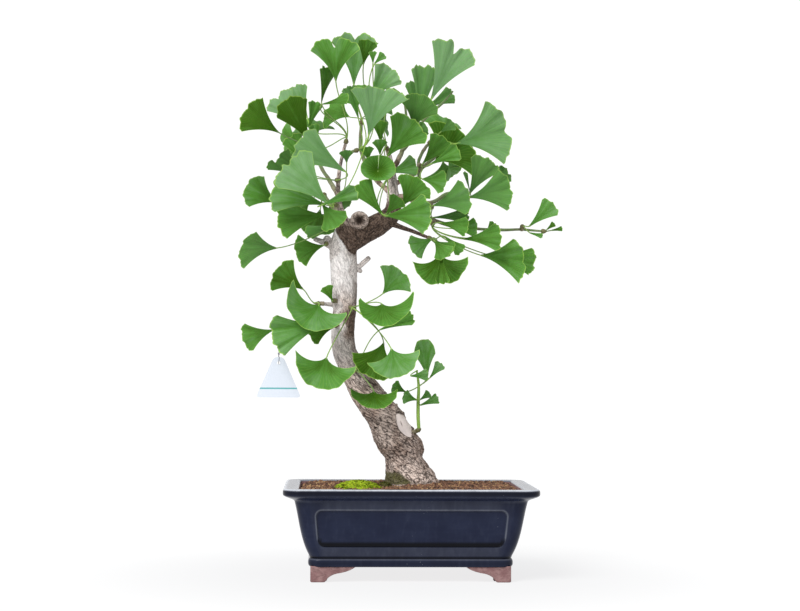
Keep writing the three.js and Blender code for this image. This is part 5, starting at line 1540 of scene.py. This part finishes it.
# ---------------------------------------------------------------- leaves

# A leaf that spreads this wide is closed to a funnel, whose wall rises by the given share of its reach
FUNNEL_FROM = 150
FUNNEL_RISE = 0.55
FUNNEL_SPREAD = 179.6

LEAF_NUMBERS = 13
BUD_RADII = (2.0, 2.3, 2.55, 2.6, 2.5, 2.3, 2.0, 1.5, 0.8)


class Leaf:
    """One leaf, from its row in a spray's table.

    The row is [x, z, y, aim, lean, roll, long, spread, cup, droop, notch, skew, flat]: where the blade
    starts, its angle in the front view, how it leans to the viewer and rolls on its axis, its length, its
    angle to each side, how it is cupped and how it droops (all angles in degrees), and as shares of its
    length how deep the notch is, how much longer one side is and how far the margin's middle stands back.
    """

    def __init__(self, row, root, leave, phase):
        numbers = [*row, *[0] * (LEAF_NUMBERS - len(row))]
        x, z, y, aim, lean, roll = numbers[:6]
        self.long, self.spread, self.cup, self.droop, self.notch, self.skew, self.flat = numbers[6:]
        self.funnel = self.spread > FUNNEL_FROM
        if self.funnel:
            self.spread = FUNNEL_SPREAD
        self.base = place(x, z, y)
        self.root = root
        self.leave = leave
        self.phase = phase
        a, l, r = math.radians(aim), math.radians(lean), math.radians(roll)
        outward = np.array((math.cos(a), 0, math.sin(a)))
        forward = np.array((0, -1, 0))
        self.along = outward * math.cos(l) + forward * math.sin(l)
        level = forward * math.cos(l) - outward * math.sin(l)
        side = np.cross(self.along, level)
        self.face = level * math.cos(r) + side * math.sin(r)
        self.across = np.cross(self.along, self.face)

    def margin(self, u, v):
        """The margin's distance from the base, as a share of the blade's length."""
        corner = 0.08 * np.abs(u) ** 5
        waves = 0.018 * np.sin(9 * u + self.phase) + 0.012 * np.sin(17 * u + 2 * self.phase)
        scallops = 0.008 * np.sin(27 * u + 3 * self.phase) + 0.004 * np.sin(41 * u + self.phase)
        cut = self.notch * np.exp(-((u / 0.11) ** 2)) * np.maximum(0, 2 * v - 1)
        even = 1 - corner + waves * v + scallops * v ** 4 - cut - self.flat * (1 - u * u)
        return even * (1 + self.skew * u)

    def point(self, u, v):
        """A point of the fan: u from edge to edge (-1 to 1), v from the stalk to the margin (0 to 1)."""
        opened = 1 if self.funnel else 0.35 + 0.65 * np.maximum(v, 0) ** 0.8
        fan = math.radians(self.spread) * opened
        r = self.long * v * self.margin(u, v)
        x = r * np.sin(fan * u) + STALK_W / 2 * u * (1 - v) * (not self.funnel)
        y = r * np.cos(fan * u)
        half = self.long * v * np.sin(np.minimum(fan, math.pi / 2)) + STALK_W / 2 * (1 - v) + 0.01
        turn = math.radians(max(abs(self.cup), 0.5)) * (0.4 + 0.6 * v)
        sx = half / turn * np.sin(turn * x / half)
        sz = math.copysign(1, self.cup or 1) * half / turn * (1 - np.cos(turn * x / half))
        bend = math.radians(self.droop) * (y / self.long) + 1e-6
        arm = y / bend
        ruffle = 0.02 * np.sin(13 * u + 2 * self.phase) + 0.009 * np.sin(29 * u + self.phase)
        ruffle = ruffle * np.maximum(v, 0) ** 4
        lift = sz + self.long * (0.035 * v * v * np.sin(5 * u + self.phase) + ruffle)
        if self.funnel:
            lift = lift + FUNNEL_RISE * r
        along = arm * np.sin(bend) + lift * np.sin(bend)
        out = lift * np.cos(bend) - arm * (1 - np.cos(bend))
        return (self.base + sx[:, None] * self.across + along[:, None] * self.along
                + out[:, None] * self.face)

    def skin(self, u, v, side, thick):
        """A point of the upper (side 1) or lower (side -1) face, closed to an edge all round."""
        step = 0.01
        du = self.point(u + step, v) - self.point(u - step, v)
        dv = self.point(u, v + step) - self.point(u, v - step)
        normal = np.cross(du, dv)
        normal /= np.maximum(np.linalg.norm(normal, axis=1), 1e-9)[:, None]
        edge = np.minimum(np.minimum(1 - np.abs(u), 1 - v) * 14, v * 30)
        body = thick / 2 * np.sqrt(np.clip(edge, 0, 1)) * (1 - 0.45 * v)
        return self.point(u, v) + (side * body)[:, None] * normal

    def stalk_path(self, steps):
        """The stalk's line, from the bud or stem to the blade."""
        reach = self.base - self.root
        far = np.linalg.norm(reach)
        arrive = unit(self.along + reach * 0.7 / far)
        return bezier(self.root, self.root + self.leave * 0.35 * far, self.base - arrive * 0.35 * far,
                      self.base, np.linspace(0, 1, steps + 1))

    def columns(self):
        """How many columns of faces the blade needs, in all an even number."""
        wide = self.long * math.radians(self.spread)
        return 2 * int(np.clip(wide / 1.7, 6, 22))

    def fits(self):
        """Whether the blade stays inside the frame's box."""
        u, v = np.meshgrid(np.linspace(-1, 1, 41), np.linspace(0.4, 1, 7))
        points = self.point(u.ravel(), v.ravel())
        return (points > BOX_LOW + 0.3).all() and (points < BOX_HIGH - 0.3).all()


def grown(spray, phases):
    """Where a spray's bud stands, which way it points, and its leaves."""
    if "on" in spray:
        stations = BOUGHS[spray["on"]]
        root, tip = limb_path(stations, len(stations) - 1)[0][-2:]
    else:
        root, tip = place(*spray["from"]), place(*spray["at"])
    along = unit(tip - root)
    foot = tip + along * GAP
    if "stem" in spray:
        joints = [place(x, z, y) for x, z, y, _ in spray["stem"]]
    else:
        joints = [foot + along * CAP_LONG / 2]
    leaves = []
    for row in spray["leaves"]:
        base = place(*row[:3])
        near = min(joints, key=lambda joint: np.linalg.norm(joint - base))
        leaves.append(Leaf(row, near, along, 6.28 * next(phases)))
    return foot, along, leaves


def back_leaves(tip, count, first, last, numbers):
    """Rows for the leaves of a spray on the far side, which all lean away from the viewer."""
    x, z, y = tip[:3]
    rows = []
    for k in range(count):
        aim = first + (last - first) / (count - 1) * k + 10 * (next(numbers) - 0.5)
        away = 30 + 30 * next(numbers)
        reach = 16 + 12 * next(numbers)
        out = reach * math.cos(math.radians(away))
        rows.append([
            x + out * math.cos(math.radians(aim)), z + out * math.sin(math.radians(aim)),
            y + reach * math.sin(math.radians(away)), aim, -away, 30 * (next(numbers) - 0.5),
            34 + 8 * next(numbers), 38 + 12 * next(numbers), -20, 10, 0.15 * next(numbers)])
    return rows


def all_sprays():
    """The sprays of the table, and those on the far side."""
    numbers = seeded(911)
    sprays = list(SPRAYS)
    for on, count, first, last in BACK_SPURS:
        rows = back_leaves(BOUGHS[on][-1], count, first, last, numbers)
        sprays.append({"name": on.replace("back", "back_").lower(), "on": on, "leaves": rows})
    return sprays


def flag(bm, start, **values):
    """Sets numbers on the faces made since the bmesh had start faces."""
    bm.faces.ensure_lookup_table()
    for name, value in values.items():
        layer = bm.faces.layers.float[name]
        for face in bm.faces[start:]:
            face[layer] = value


def add_stalk(bm, leaf, radius):
    """A leaf's stalk, which runs on a little way under its blade and thins out there."""
    ahead = leaf.point(np.zeros(3), np.array((0.04, 0.09, 0.14)))
    path = np.vstack([leaf.stalk_path(14), ahead - leaf.face * 0.12])
    radii = np.concatenate([np.linspace(1.25, 1, 4), np.full(9, 0.9), (0.95, 1, 0.7, 0.45, 0.15)])
    tube(bm, path, radius * radii, 8, first=leaf.across)


def add_blade(bm, leaf, thick, tone, upper):
    """A leaf's two faces; upper is how much the upper one has of the underside's grey."""
    rows = 16 if leaf.long > 30 else 11
    # How much painted shade lies deep in the leaf by its stalk: all of it in a funnel, some in a deep cup
    cupped = 1 if leaf.funnel else min(0.6, max(0, (abs(leaf.cup) - 30) / 80))
    for side, under in ((1, upper), (-1, 1)):
        start = len(bm.faces)
        shaped_grid(bm, leaf.columns(), rows,
                    lambda u, v: leaf.skin(side * (2 * u - 1), v ** 0.85, side, thick))
        flag(bm, start, tone=tone, under=under, cupped=cupped)


def spray_mesh(spray, phases, rng, thick, stalk_r):
    """The blades, stalks and bud of one spray."""
    foot, along, leaves = grown(spray, phases)
    bm = bmesh.new()
    bm.loops.layers.uv.new("blade")
    for name in ("tone", "under", "stalk", "cupped"):
        bm.faces.layers.float.new(name)
    upper = 0.6 if spray.get("cool") else 0
    plain = rng.uniform(0.15, 0.55)
    tones = spray.get("tones", (plain,) * len(leaves))
    steps = np.linspace(-0.4, 1, len(BUD_RADII))[:, None]
    tube(bm, foot + along * CAP_LONG * steps, np.array(BUD_RADII), 12, tip=0.5,
         skin=lambda turn, t: 1 + 0.07 * np.sin(5 * turn + 8 * t) + 0.06 * np.sin(18 * t))
    flag(bm, 0, tone=0.4, stalk=1)
    if "stem" in spray:
        start = len(bm.faces)
        limb(bm, spray["stem"], 12, 32, tip=0.8)
        flag(bm, start, tone=0.7, stalk=0.5)
    for leaf, leaf_tone in zip(leaves, tones):
        while not leaf.fits():
            leaf.long *= 0.985
        tone = min(1, max(0, leaf_tone + rng.uniform(-0.06, 0.06)))
        start = len(bm.faces)
        add_stalk(bm, leaf, stalk_r)
        flag(bm, start, tone=tone, stalk=0.5)
        add_blade(bm, leaf, thick, tone, upper)
    bmesh.ops.remove_doubles(bm, verts=bm.verts, dist=0.002)
    under = bm.faces.layers.float["under"]
    for edge in bm.edges:
        pair = edge.link_faces
        edge.smooth = len(pair) != 2 or pair[0][under] == pair[1][under]
    return mesh_from(bm, spray["name"])


# ---------------------------------------------------------------- add-on

# The camera: its lens in millimetres, its place, and its pan, pitch and roll in degrees
LENS = 85.5
CAMERA_AT = (-84.6, -1995, 217)
CAMERA_TURN = (2.14, 1.88, 0.3)

# Sizes of the stage in metres, and its soft lights as (name, turn and softness in degrees, power)
FLOOR_HALF = 6
AROUND_R = 9
WORLD_LIGHT = 0.42
LIGHTS = (
    ("key", (38, -34, 0), 32, 3.1),
    ("fill", (62, 40, 0), 70, 0.6),
)

# How steeply the bright mound of moss rises, and how many tufts the old patch has, in threes
MOUND_PEAK = 1.45
PATCH_TUFTS = 256


def colour_property(name, description, red, green, blue):
    return bpy.props.FloatVectorProperty(
        name=name, description=description, subtype="COLOR", size=3, min=0, max=1,
        default=srgb(red, green, blue))


class BonsaiSizes(bpy.types.PropertyGroup):
    leaf_thick: bpy.props.FloatProperty(
        name="Leaf thickness", description="Thickness of a leaf near its stalk",
        default=0.0005, min=0.0002, max=0.0008, unit="LENGTH")
    stalk_width: bpy.props.FloatProperty(
        name="Stalk width", description="Thickness of a leaf's stalk",
        default=0.0013, min=0.0008, max=0.0016, unit="LENGTH")
    tufts: bpy.props.IntProperty(
        name="Moss tufts", description="Tufts on the bright mound, in threes: a power of two",
        default=1024, min=64, max=2048)
    line_down: bpy.props.FloatProperty(
        name="Line on the tag", description="Depth of the tag's line below its top edge",
        default=0.0325, unit="LENGTH")
    line_thick: bpy.props.FloatProperty(
        name="Line thickness", description="Thickness of the tag's line",
        default=0.0016, unit="LENGTH")


class BonsaiColours(bpy.types.PropertyGroup):
    leaf_fresh: colour_property("Fresh leaf", "Full green", 70, 120, 46)
    leaf_deep: colour_property("Deep leaf", "Deep olive green", 42, 80, 0)
    leaf_pale: colour_property("Pale leaf", "Light greyish green", 115, 151, 108)
    leaf_under: colour_property("Leaf underside", "Greyer lower side", 90, 126, 86)
    leaf_margin: colour_property("Leaf margin", "Thin pale rim and veins", 158, 198, 88)
    stalk: colour_property("Stalk", "Leaf stalks", 108, 132, 84)
    twig: colour_property("Twig", "Skin of the young twigs", 128, 118, 98)
    bud: colour_property("Bud", "Bud scales", 112, 96, 70)
    bark_pale: colour_property("Pale bark", "Light side of the upper trunk", 252, 246, 243)
    bark_pale_grey: colour_property("Grey bark", "Shades in the pale bark", 216, 208, 205)
    bark_low: colour_property("Low bark", "Ridges of the lower trunk", 184, 160, 146)
    bark_low_light: colour_property("Low bark light", "Lighter ridges of the lower trunk", 230, 210, 198)
    # Also the colour of the painted shade down the trunk's right side
    bark_dark: colour_property("Dark bark", "Brown bark of the right bough", 92, 74, 62)
    crack: colour_property("Cracks", "Cracks between the plates", 36, 27, 22)
    scar: colour_property("Scar", "Healed pruning scar", 246, 232, 228)
    algae: colour_property("Algae", "Dull growth at the trunk's foot", 98, 96, 52)
    algae_dark: colour_property("Dark algae", "Shades in that growth", 40, 38, 20)
    glaze: colour_property("Glaze", "Navy glaze", 33, 39, 60)
    glaze_deep: colour_property("Deep glaze", "Where the glaze is thick", 21, 26, 46)
    glaze_slate: colour_property("Slate glaze", "Streaks where the glaze ran thin", 72, 78, 94)
    # Pale glaze at edges and pinholes, which is also the painted highlight along the rim and round the
    # panels
    glaze_pale_and_highlight: colour_property("Glaze edge", "Where the glaze breaks over an edge", 196, 200, 208)
    # Near black of pooled glaze, which is also the painted shade in the grooves and under the rim
    glaze_pool_shade: colour_property("Glaze pool", "Where the glaze has pooled", 4, 4, 9)
    clay: colour_property("Clay", "Bare clay", 116, 84, 84)
    clay_dusty: colour_property("Dusty clay", "Dust on the clay", 146, 116, 114)
    soil: colour_property("Granules", "Most granules", 104, 76, 60)
    soil_dark: colour_property("Dark granules", "Damp granules", 50, 36, 32)
    soil_red: colour_property("Red granules", "Redder granules", 136, 98, 76)
    soil_light: colour_property("Light granules", "Straw-coloured granules", 178, 146, 104)
    moss: colour_property("Moss", "Bright tips of the mound", 186, 210, 50)
    moss_deep: colour_property("Deep moss", "Depths of the mound", 100, 122, 16)
    moss_dark: colour_property("Old moss", "Dark moss by the trunk", 92, 98, 40)
    plastic: colour_property("Drain mesh", "Black mesh", 30, 31, 33)
    card: colour_property("Card", "Face of the tag", 208, 214, 224)
    card_grey: colour_property("Card shade", "Fibres of the card", 190, 197, 208)
    teal: colour_property("Line", "Plain line on the tag", 66, 158, 160)
    thread: colour_property("Thread", "Thread", 160, 162, 164)
    thread_dark: colour_property("Thread shade", "Between the strands", 92, 94, 98)


class BONSAI_OT_camera(bpy.types.Operator):
    """Set up the camera in front of the pot"""
    bl_idname = "bonsai.camera"
    bl_label = "Camera"

    def execute(self, context):
        data = bpy.data.cameras.new("front_camera")
        data.sensor_width = 36
        data.lens = LENS
        data.clip_start = 0.1
        data.clip_end = 50
        camera = linked("front_camera", data)
        pan, pitch, roll = [math.radians(angle) for angle in CAMERA_TURN]
        ahead = Vector((math.sin(pan) * math.cos(pitch), math.cos(pan) * math.cos(pitch), math.sin(pitch)))
        right = ahead.cross(Vector((0, 0, 1))).normalized()
        up = right.cross(ahead)
        c, s = math.cos(roll), math.sin(roll)
        turn = Matrix((right * c + up * s, up * c - right * s, -ahead)).transposed().to_4x4()
        camera.matrix_world = Matrix.Translation(TO_FRAME @ Vector(CAMERA_AT)) @ turn
        context.scene.camera = camera
        return {"FINISHED"}


class BONSAI_OT_tag(bpy.types.Operator):
    """Hang the tag by its thread"""
    bl_idname = "bonsai.tag"
    bl_label = "Thread and tag"

    def execute(self, context):
        sizes, colours = context.scene.bonsai_sizes, context.scene.bonsai_colours
        path, at, upper, lower = thread_path()
        bm = bmesh.new()
        bm.loops.layers.uv.new("strand")
        tube(bm, path, np.full(len(path), THREAD_R), 10, first=(1, 0, 0))
        look = thread_look(colours)
        strand = piece("thread_strand", mesh_from(bm, "strand", 0.001), [look], "thread", "tag_thread")
        bm = bmesh.new()
        bm.loops.layers.uv.new("strand")
        knot_mesh(bm, at[0], at[1], upper)
        knot_mesh(bm, at[0], at[1], lower)
        knots = piece("thread_knots", mesh_from(bm, "knots", 0.001), [look], "thread")
        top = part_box("hang_tag")[1].z
        middle = (top - sizes.line_down) * 1000
        half = sizes.line_thick * 500
        card = dressed("hang_tag", card_look(colours, middle - half, middle + half))
        return {"FINISHED"}


class BONSAI_OT_pot(bpy.types.Operator):
    """Make the glazed pot on its clay feet"""
    bl_idname = "bonsai.pot"
    bl_label = "Pot"

    def execute(self, context):
        colours = context.scene.bonsai_colours
        body = linked("pot_body", mesh_from(pot_body(), "pot_body"))
        bm = bmesh.new()
        for x in (-DRAIN_X, DRAIN_X):
            made = bmesh.ops.create_cone(
                bm, cap_ends=True, segments=48, radius1=DRAIN_R, radius2=DRAIN_R, depth=20)
            bmesh.ops.translate(bm, verts=made["verts"], vec=(x, 0, 20))
        for face in bm.faces:
            face.material_index = 1
        drains = linked("drains", mesh_from(bm, "drains"))
        cut = body.modifiers.new("drains", "BOOLEAN")
        cut.object = drains
        cut.operation = "DIFFERENCE"
        cut.solver = "EXACT"
        mesh = settled(body)
        for obj in (body, drains):
            bpy.data.objects.remove(obj)
        bm = bmesh.new()
        bm.from_mesh(mesh)
        for quarter, (sign_x, sign_y) in enumerate(((-1, -1), (1, -1), (1, 1), (-1, 1))):
            bm.from_mesh(foot_mesh(sign_x, sign_y, quarter))
        for edge in bm.edges:
            if len(edge.link_faces) == 2 and edge.calc_face_angle() > 0.9:
                edge.smooth = False
        looks = [glaze_look(colours), clay_look(colours)]
        piece("glazed_pot", mesh_from(bm, "pot"), looks, "glaze", "pot")
        return {"FINISHED"}


class BONSAI_OT_soil(bpy.types.Operator):
    """Fill the pot with granules"""
    bl_idname = "bonsai.soil"
    bl_label = "Soil"

    def execute(self, context):
        colours = context.scene.bonsai_colours
        look = soil_look(colours)
        piece("soil_granules", granules(), [look], "soil", smooth=False)
        dressed("soil", look)
        screen = screen_look(colours)
        for node in ("drain_mesh_left", "drain_mesh_right"):
            dressed(node, screen)
        return {"FINISHED"}


class BONSAI_OT_moss(bpy.types.Operator):
    """Grow the bright mound and the dark patch of moss"""
    bl_idname = "bonsai.moss"
    bl_label = "Moss"

    def execute(self, context):
        colours = context.scene.bonsai_colours
        bright = moss_look("bright_moss", colours.moss_deep, colours.moss)
        mound = moss_mesh(MOSS_AT, MOSS_SIZE, 7, context.scene.bonsai_sizes.tufts, MOUND_PEAK)
        piece("mound_of_moss", mound, [bright], "moss", "moss_mound")
        old = moss_look("old_moss", colours.soil_dark, colours.moss_dark)
        patch = moss_mesh(PATCH_AT, PATCH_SIZE, 19, PATCH_TUFTS)
        piece("patch_of_moss", patch, [old], "moss", "moss_patch")
        return {"FINISHED"}


class BONSAI_OT_wood(bpy.types.Operator):
    """Grow the trunk, boughs and twigs"""
    bl_idname = "bonsai.wood"
    bl_label = "Wood"

    def execute(self, context):
        colours = context.scene.bonsai_colours
        piece("wood", wood_mesh(), [bark_look(colours)], "bark", "trunk")
        piece("twigs", twig_mesh(), [twig_look(colours)], "bark")
        return {"FINISHED"}


class BONSAI_OT_leaves(bpy.types.Operator):
    """Grow every spray of leaves"""
    bl_idname = "bonsai.leaves"
    bl_label = "Leaves"

    def execute(self, context):
        sizes = context.scene.bonsai_sizes
        look = leaf_look(context.scene.bonsai_colours)
        phases = seeded(4127)
        rng = random.Random(41)
        for spray in all_sprays():
            mesh = spray_mesh(spray, phases, rng, sizes.leaf_thick * 1000, sizes.stalk_width * 500)
            piece(f"leaves_{spray['name']}", mesh, [look], "leaf", f"spray_{spray['name']}")
        return {"FINISHED"}


class BONSAI_OT_stage(bpy.types.Operator):
    """Set a white floor with a painted soft shadow round the pot, white surroundings and soft lights"""
    bl_idname = "bonsai.stage"
    bl_label = "Stage"

    def execute(self, context):
        bm = bmesh.new()
        bmesh.ops.create_grid(bm, x_segments=8, y_segments=8, size=FLOOR_HALF)
        floor = linked("floor", mesh_from(bm, "floor"))
        look = Look("white_floor", roughness=0.9, specular_ior_level=0.0, emission_strength=0.92)
        where = look.millimetres()
        x, y, _ = look.parts(where)
        away = (x * x + y * y).math("SQRT")
        # The floor glows a little less within 480 mm of the middle, least within 130 mm: a painted soft
        # shadow round the pot
        look.glow(look.mix(away.step(130, 480), (0.87, 0.87, 0.875), (1, 1, 1)))
        white = look.mix(look.noise(where, 40, 2) * 0.05, (0.12, 0.12, 0.12), (0.11, 0.11, 0.115))
        floor.data.materials.append(look.finish(white))
        bm = bmesh.new()
        bmesh.ops.create_uvsphere(bm, u_segments=32, v_segments=16, radius=AROUND_R)
        bmesh.ops.reverse_faces(bm, faces=bm.faces)
        around = linked("surroundings", mesh_from(bm, "surroundings"))
        around.visible_diffuse = False
        around.visible_shadow = False
        look = Look("white_surroundings", emission_strength=1.0)
        look.glow(look.mix(look.noise(look.millimetres(), 900, 2) * 0.03, (1, 1, 1), (0.96, 0.97, 1)))
        around.data.materials.append(look.finish((0, 0, 0)))
        world = bpy.data.worlds.new("white")
        world.use_nodes = True
        background = world.node_tree.nodes["Background"]
        background.inputs["Color"].default_value = (0.95, 0.97, 1, 1)
        background.inputs["Strength"].default_value = WORLD_LIGHT
        context.scene.world = world
        for name, turn, soft, power in LIGHTS:
            light = bpy.data.lights.new(name, "SUN")
            light.angle = math.radians(soft)
            light.energy = power
            lamp = linked(name, light)
            lamp.rotation_euler = Euler([math.radians(a) for a in turn])
        context.scene.view_settings.view_transform = "Standard"
        return {"FINISHED"}


class BONSAI_PT_panel(bpy.types.Panel):
    bl_idname = "BONSAI_PT_panel"
    bl_label = "Ginkgo Bonsai"
    bl_space_type = "VIEW_3D"
    bl_region_type = "UI"
    bl_category = "Bonsai"

    def draw(self, context):
        for operator in OPERATORS:
            self.layout.operator(operator.bl_idname)
        for group in (context.scene.bonsai_sizes, context.scene.bonsai_colours):
            box = self.layout.box()
            for name in group.__annotations__:
                box.prop(group, name)


OPERATORS = (
    BONSAI_OT_camera,
    BONSAI_OT_tag,
    BONSAI_OT_pot,
    BONSAI_OT_soil,
    BONSAI_OT_moss,
    BONSAI_OT_wood,
    BONSAI_OT_leaves,
    BONSAI_OT_stage,
)

CLASSES = (BonsaiSizes, BonsaiColours, *OPERATORS, BONSAI_PT_panel)


def register():
    for cls in CLASSES:
        bpy.utils.register_class(cls)
    bpy.types.Scene.bonsai_sizes = bpy.props.PointerProperty(type=BonsaiSizes)
    bpy.types.Scene.bonsai_colours = bpy.props.PointerProperty(type=BonsaiColours)


def unregister():
    del bpy.types.Scene.bonsai_sizes
    del bpy.types.Scene.bonsai_colours
    for cls in reversed(CLASSES):
        bpy.utils.unregister_class(cls)


def main():
    register()
    bpy.ops.bonsai.camera()
    bpy.ops.bonsai.tag()
    bpy.ops.bonsai.pot()
    bpy.ops.bonsai.soil()
    bpy.ops.bonsai.moss()
    bpy.ops.bonsai.wood()
    bpy.ops.bonsai.leaves()
    bpy.ops.bonsai.stage()
    bpy.context.view_layer.update()


if __name__ == "__main__":
    main()
